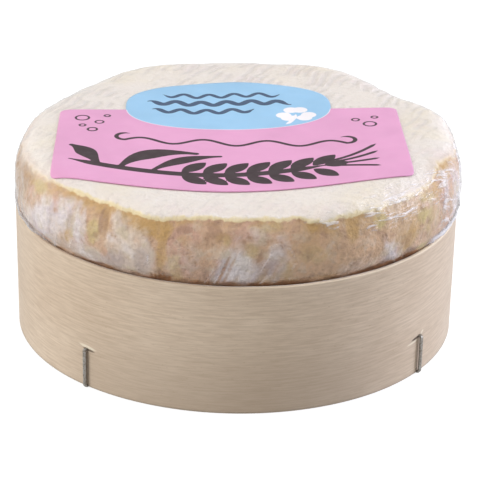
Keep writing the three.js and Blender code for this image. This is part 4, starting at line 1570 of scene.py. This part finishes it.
class CAMEMBERT_OT_wrap_film(bpy.types.Operator):
    """Wraps the cheese in clear film with its folds and creases"""
    bl_idname = "camembert.wrap_film"
    bl_label = "Wrap the film"

    def execute(self, context):
        settings = context.scene.camembert_film
        skin, _, rind = ripe_rind(context.scene.camembert_rind.columns)
        fold, white = film_folds(skin)
        wrinkle = film_wrinkles(skin)
        streak, streak_white = film_streaks(skin)
        height = settings.fold_height * TO_MM * np.maximum(np.maximum(fold, streak), 0.3 * wrinkle)
        taut = bridged(rind, 4) + settings.clearance * TO_MM
        beside = np.exp(-(((skin.azimuth - 84.0) / 18.0) ** 2) - ((skin.climb - 6.0) / 6.0) ** 2)
        taut += STAND_OFF * beside
        tucked = ramp(54.0, 62.0, np.abs(skin.azimuth)) * ramp(104.0, 92.0, np.abs(skin.azimuth))
        taut += 0.8 * tucked * np.exp(-(((skin.climb - 0.5) / 0.7) ** 2))
        rows = inside_solids(skin.moved(taut + height), rise=0.5)
        crease = np.maximum(np.maximum(white, streak_white), np.maximum(0.3 * wrinkle, 0.42 * beside))
        reach = 0.8 * ramp(-54.0, 54.0, skin.azimuth)
        tuck = 0.75 * ramp(1.9 + reach, 0.7 + reach, skin.climb) + 0.1 * soft_noise(skin.points, 2.5, 131)
        masks = {"crease": crease, "tuck": tucked * tuck, **drawn_masks(skin)}
        film = make_skin("clear_film", rows, film_material(settings), masks)
        ride_in_box(film, "cheese_in_film", "wrapped_cheese")
        return {"FINISHED"}


# The label

def panel_outline():
    """The panel's closed outline round its own middle, with its rounded corners and its bowed front."""
    side, back, corner = LABEL_WIDTH / 2, LABEL_DEPTH / 2, LABEL_CORNER
    low = -back - LABEL_BOW_START
    points = arc_points((-side, corner - back), (-side, -back), (corner - side, low), 8)
    points += arc_points((corner - side, low), (0.0, -back - 2 * LABEL_BOW), (side - corner, low), 60)
    points += arc_points((side - corner, low), (side, -back), (side, corner - back), 8)
    points += arc_points((side, back - corner), (side, back), (side - corner, back), 8)
    points += arc_points((corner - side, back), (-side, back), (-side, back - corner), 8)
    return points + points[:1]


def panel_distance(x, y):
    """The distance in mm from the panel's edge, below 0 inside it."""
    outline = panel_outline()
    away = distance_to_line(x, y, outline)[0]
    inside = np.zeros(np.shape(x), bool)
    for (ax, ay), (bx, by) in zip(outline, outline[1:]):
        if ay != by:
            crossed = ((ay > y) != (by > y)) & (x < ax + (y - ay) * (bx - ax) / (by - ay))
            inside ^= crossed
    return np.where(inside, -away, away)


def plaque_distance(x, y):
    """About the distance in mm from the plaque's edge, below 0 inside it."""
    across = np.abs((x - PLAQUE_CENTRE[0]) / PLAQUE_HALF_WIDTH)
    # Its back edge bulges a little in the middle
    bulge = 1.1 * np.exp(-(((x - 2.0) / 6.5) ** 2)) * ramp(0.0, 4.0, y - PLAQUE_CENTRE[1])
    deep = np.abs((y - PLAQUE_CENTRE[1] - bulge) / PLAQUE_HALF_DEPTH)
    reach = (across**PLAQUE_POWER + deep**PLAQUE_POWER) ** (1 / PLAQUE_POWER)
    slope = np.hypot(across / PLAQUE_HALF_WIDTH, deep / PLAQUE_HALF_DEPTH)
    slope = slope / np.maximum(np.hypot(across, deep), 1e-6)
    return (reach - 1.0) / np.maximum(slope, 1 / PLAQUE_HALF_WIDTH)


def label_distance(x, y):
    """The distance in mm from the whole label's edge, below 0 inside it."""
    return np.minimum(panel_distance(x, y), plaque_distance(x, y))


def snap_to_edge(x, y):
    """Moves places near the label's edge onto it."""
    step = 0.01
    for _ in range(4):
        away = label_distance(x, y)
        slope_x = (label_distance(x + step, y) - label_distance(x - step, y)) / (2 * step)
        slope_y = (label_distance(x, y + step) - label_distance(x, y - step)) / (2 * step)
        steep = np.maximum(slope_x**2 + slope_y**2, 0.2)
        x, y = x - away * slope_x / steep, y - away * slope_y / steep
    return x, y


def label_sheet(cell):
    """Places of the label's sheet round its own middle, its faces and the edges of its outline."""
    side, front = LABEL_WIDTH / 2 + cell, -LABEL_DEPTH / 2 - LABEL_BOW - cell
    back = PLAQUE_CENTRE[1] + PLAQUE_HALF_DEPTH + cell
    x, y = np.meshgrid(np.arange(-side, side + cell, cell), np.arange(front, back + cell, cell))
    rows, columns = x.shape
    row, column = np.meshgrid(np.arange(rows - 1), np.arange(columns - 1), indexing="ij")
    corner = (row * columns + column).ravel()
    quads = np.stack([corner, corner + 1, corner + columns + 1, corner + columns], axis=-1)
    x, y = x.ravel(), y.ravel()
    quads = quads[label_distance(x[quads].mean(axis=1), y[quads].mean(axis=1)) < 0]
    used = np.unique(quads)
    place = np.full(len(x), -1)
    place[used] = np.arange(len(used))
    x, y, quads = x[used], y[used], place[quads]
    sides = {(int(q[i]), int(q[(i + 1) % 4])) for q in quads for i in range(4)}
    outline = sorted(pair for pair in sides if pair[::-1] not in sides)
    rim = np.union1d(np.ravel(outline), np.flatnonzero(label_distance(x, y) > 0))
    x[rim], y[rim] = snap_to_edge(x[rim], y[rim])
    return x, y, quads, outline


def on_label(x, y):
    """Places over the cheese as places round the label's own middle."""
    turn = math.radians(LABEL_TURN)
    x, y = x - LABEL_CENTRE[0], y - LABEL_CENTRE[1]
    return x * math.cos(turn) + y * math.sin(turn), y * math.cos(turn) - x * math.sin(turn)


def lie_of_label(x, y, cover):
    """Places round the label's own middle as places on the cheese, with the height of the film there."""
    turn = math.radians(LABEL_TURN)
    wide = x * math.cos(turn) - y * math.sin(turn) + LABEL_CENTRE[0]
    deep = x * math.sin(turn) + y * math.cos(turn) + LABEL_CENTRE[1]
    skin = BVHTree.FromPolygons([v.co for v in cover.vertices], [p.vertices for p in cover.polygons])
    heights = np.empty(x.shape)
    down = Vector((0.0, 0.0, -1.0))
    for index in np.ndindex(x.shape):
        hit = skin.ray_cast(Vector((wide[index], deep[index], 60.0)) * MM, down)[0]
        heights[index] = hit.z * TO_MM
    return wide, deep, heights


def leaf(x, y, start, end, width):
    """The distance in mm from the edge of a pointed leaf, below 0 inside it."""
    away, along = distance_to_line(x, y, [start, end])
    side = width * np.sin(math.pi * np.clip(along, 0.0, 1.0)) ** 0.75
    return away - side


def stroke(x, y, points, width, taper=0.2):
    """The distance in mm from the edge of a brush stroke that thins towards its ends."""
    away, along = distance_to_line(x, y, points)
    thin = 0.25 + 0.75 * ramp(0.0, taper, along) * ramp(1.0, 1.0 - taper, along)
    return away - width * thin


def arc_points(start, control, end, count=14):
    """Points of a bent line from start to end, drawn towards a control point."""
    start, control, end = np.array((start, control, end))
    share = np.linspace(0, 1, count)[:, None]
    line = (1 - share) ** 2 * start + 2 * share * (1 - share) * control + share**2 * end
    return [tuple(p) for p in line]


def nearest(parts):
    """The distance in mm from the nearest of some shapes, below 0 inside one."""
    return np.min(list(parts), axis=0)


def barley_sprig(x, y):
    """A bold ear of barley that lies along the panel, with its stem, grains, awns and three leaves."""
    stem = arc_points((-30.0, -9.0), (-8.0, -20.0), (17.0, -12.0), 25)
    end_x, end_y = stem[-1]
    parts = [stroke(x, y, stem, 0.95, 0.1), leaf(x, y, stem[-1], (end_x + 4.6, end_y + 1.2), 1.4)]
    for px, py in stem[11:24:2]:
        for side, reach in ((1.0, 5.6), (-1.0, 4.6)):
            parts.append(leaf(x, y, (px, py + side * 0.8), (px + 4.4, py + side * reach), 1.5))
    for rise in (-0.6, 1.8, 4.2, 6.6):
        root, bend = (end_x + 1.0, end_y + 0.3 * rise), (end_x + 6.0, end_y + 0.6 * rise)
        awn = arc_points(root, bend, (end_x + 10.4, end_y + 1.5 * rise), 8)
        parts.append(stroke(x, y, awn, 0.4, 0.1))
    blades = (
        (stem[5], (-17.0, -3.0), (-6.5, -5.4), 2.1),
        (stem[3], (-27.0, -4.0), (-30.0, -1.8), 1.9),
        (stem[8], (-10.0, -7.0), (-2.0, -6.6), 1.5),
    )
    for foot, control, tip, width in blades:
        parts.append(stroke(x, y, arc_points(foot, control, tip), width, 0.5))
    return nearest(parts)


def tendril(x, y):
    """A thin wavy line over the sprig, that curls up at each end."""
    share = np.linspace(0, 1, 70)
    px = -20.0 + 42.0 * share
    py = 1.2 + 1.3 * np.sin(share * 7.0 * math.pi) - 2.6 * share
    turn = np.linspace(-0.5 * math.pi, 0.7 * math.pi, 14)
    hook = [(1.7 * math.cos(t), 1.7 + 1.7 * math.sin(t)) for t in turn]
    right = [(px[-1] + a, py[-1] + b) for a, b in hook]
    left = [(px[0] - a, py[0] + b) for a, b in hook]
    return stroke(x, y, [*left[::-1], *zip(px, py), *right], 0.42, 0.04)


# Rings in the panel's upper corners: centre, radius and line width
BUBBLES = (
    (-28.6, 12.6, 1.3, 0.22), (-25.2, 10.4, 0.8, 0.2), (-28.4, 8.6, 0.6, 0.2), (-23.8, 13.8, 0.55, 0.2),
    (-26.4, 6.4, 0.9, 0.22), (27.2, 8.4, 1.2, 0.22), (24.6, 10.8, 0.7, 0.2), (28.4, 12.0, 0.6, 0.2),
)


def bubbles(x, y):
    """Small rings like rising bubbles."""
    return nearest(np.abs(np.hypot(x - cx, y - cy) - radius) - width for cx, cy, radius, width in BUBBLES)


# Waves on the plaque: level, shift, start, end and width
WAVES = ((25.2, 0.0, -13.0, 10.5, 0.55), (21.0, 1.6, -16.0, 12.5, 0.8), (16.6, 0.6, -15.0, 5.0, 0.65))


def plaque_waves(x, y):
    """Rolling waves drawn in blue ink."""
    parts = []
    for level, shift, start, end, width in WAVES:
        px = np.linspace(start, end, 70)
        py = level + 0.95 * np.sin((px + shift) * 1.25) + 0.35 * np.sin(px * 0.31)
        parts.append(stroke(x, y, list(zip(px, py)), width, 0.08))
    return nearest(parts)


def clover(x, y):
    """A white clover leaf on the plaque's right."""
    cx, cy = 13.2, 14.4
    parts = [stroke(x, y, arc_points((cx, cy), (cx - 0.6, cy - 3.5), (cx - 2.2, cy - 5.2), 8), 0.4)]
    for turn in (90.0, 210.0, 330.0):
        for side in (-0.36, 0.36):
            turned = math.radians(turn) + side
            lobe_x, lobe_y = cx + 2.5 * math.cos(turned), cy + 2.5 * math.sin(turned)
            parts.append(np.hypot(x - lobe_x, y - lobe_y) - 1.5)
    return nearest(parts)


def label_material(settings):
    """Printed paper: a pink panel and a blue plaque with dark and white motifs, satin varnish."""
    material, tree, shader = new_material("printed_label")
    spots = effect(mottle, tree, Large=90.0, Small=500.0, Speckle=3500.0)
    edge = 0.05
    printed = lay_over(settings.white, [
        (ease(vertex_value(tree, name), edge, -edge, 0.0, cover), ink)
        for name, ink, cover in (
            ("pink_field", settings.field, 1.0),
            ("blue_field", settings.plaque, 1.0),
            ("white_print", settings.white, 1.0),
            ("blue_print", settings.blue_ink, 0.92),
            ("dark_print", settings.ink, 0.97),
        )
    ])
    fill(shader, {
        "Base Color": blend(1.0, printed, ease(spots["Large"], 0.3, 0.7, 0.95, 1.03), "MULTIPLY"),
        "Roughness": ease(spots["Small"], 0.3, 0.7, 0.42, 0.52),
        "Normal": bump(spots["Speckle"], 0.08, 0.1 * MM),
        "Specular IOR Level": 0.15,
    })
    return material


class CAMEMBERT_OT_print_label(bpy.types.Operator):
    """Cuts the paper label, prints its fields and motifs and lays it on the film"""
    bl_idname = "camembert.print_label"
    bl_label = "Print the label"

    def execute(self, context):
        settings = context.scene.camembert_label
        film = bpy.data.objects.get("clear_film")
        if film is None:
            raise RuntimeError("Wrap the film first: the label lies on it")
        x, y, quads, outline = label_sheet(0.3)
        wide, deep, heights = lie_of_label(x, y, film.data)
        foot = np.stack([wide, deep, heights + LABEL_GAP], axis=-1)
        vertices = np.concatenate([foot + (0.0, 0.0, settings.paper * TO_MM), foot])
        count = len(foot)
        faces = quads.tolist() + (quads[:, ::-1] + count).tolist()
        faces += [(b, a, a + count, b + count) for a, b in outline]
        panel, plaque = panel_distance(x, y), plaque_distance(x, y)
        fields = {
            "pink_field": np.maximum(panel - 0.3, -plaque),
            "blue_field": plaque + 0.12 - 0.42 * ramp(-0.2, 0.4, panel),
            "white_print": clover(x, y),
            "blue_print": plaque_waves(x, y),
            "dark_print": nearest((barley_sprig(x, y), tendril(x, y), bubbles(x, y))),
        }
        kept = {name: np.tile(values, 2) for name, values in fields.items()}
        label = make_piece("paper_label", vertices, faces, label_material(settings), kept)
        ride_in_box(label, "label_print", "label")
        return {"FINISHED"}


class CAMEMBERT_PT_maker(bpy.types.Panel):
    """Lists the steps that make the boxed camembert, with their settings"""
    bl_idname = "CAMEMBERT_PT_maker"
    bl_label = "Boxed camembert"
    bl_space_type = "VIEW_3D"
    bl_region_type = "UI"
    bl_category = "Camembert"

    def draw(self, context):
        for operator, group in STEPS:
            box = self.layout.box()
            box.operator(operator)
            settings = getattr(context.scene, group)
            for name in settings.bl_rna.properties.keys():
                if name not in ("rna_type", "name"):
                    box.prop(settings, name)


SETTINGS = {
    "camembert_stage": StageSettings,
    "camembert_box": BoxSettings,
    "camembert_staples": StapleSettings,
    "camembert_rind": RindSettings,
    "camembert_film": FilmSettings,
    "camembert_label": LabelSettings,
}
STEPS = (
    ("camembert.set_stage", "camembert_stage"),
    ("camembert.bend_band", "camembert_box"),
    ("camembert.cut_board", "camembert_box"),
    ("camembert.drive_staples", "camembert_staples"),
    ("camembert.ripen_cheese", "camembert_rind"),
    ("camembert.wrap_film", "camembert_film"),
    ("camembert.print_label", "camembert_label"),
)
CLASSES = (
    *SETTINGS.values(),
    CAMEMBERT_OT_set_stage,
    CAMEMBERT_OT_bend_band,
    CAMEMBERT_OT_cut_board,
    CAMEMBERT_OT_drive_staples,
    CAMEMBERT_OT_ripen_cheese,
    CAMEMBERT_OT_wrap_film,
    CAMEMBERT_OT_print_label,
    CAMEMBERT_PT_maker,
)


def register():
    """Makes the operators, the panel and the settings known."""
    for cls in CLASSES:
        bpy.utils.register_class(cls)
    for name, group in SETTINGS.items():
        setattr(bpy.types.Scene, name, PointerProperty(type=group))


def unregister():
    """Takes the operators, the panel and the settings away."""
    for name in SETTINGS:
        delattr(bpy.types.Scene, name)
    for cls in reversed(CLASSES):
        bpy.utils.unregister_class(cls)


def main():
    """Makes every piece in order."""
    register()
    bpy.ops.camembert.set_stage()
    bpy.ops.camembert.bend_band()
    bpy.ops.camembert.cut_board()
    bpy.ops.camembert.drive_staples()
    bpy.ops.camembert.ripen_cheese()
    bpy.ops.camembert.wrap_film()
    bpy.ops.camembert.print_label()


if __name__ == "__main__":
    main()
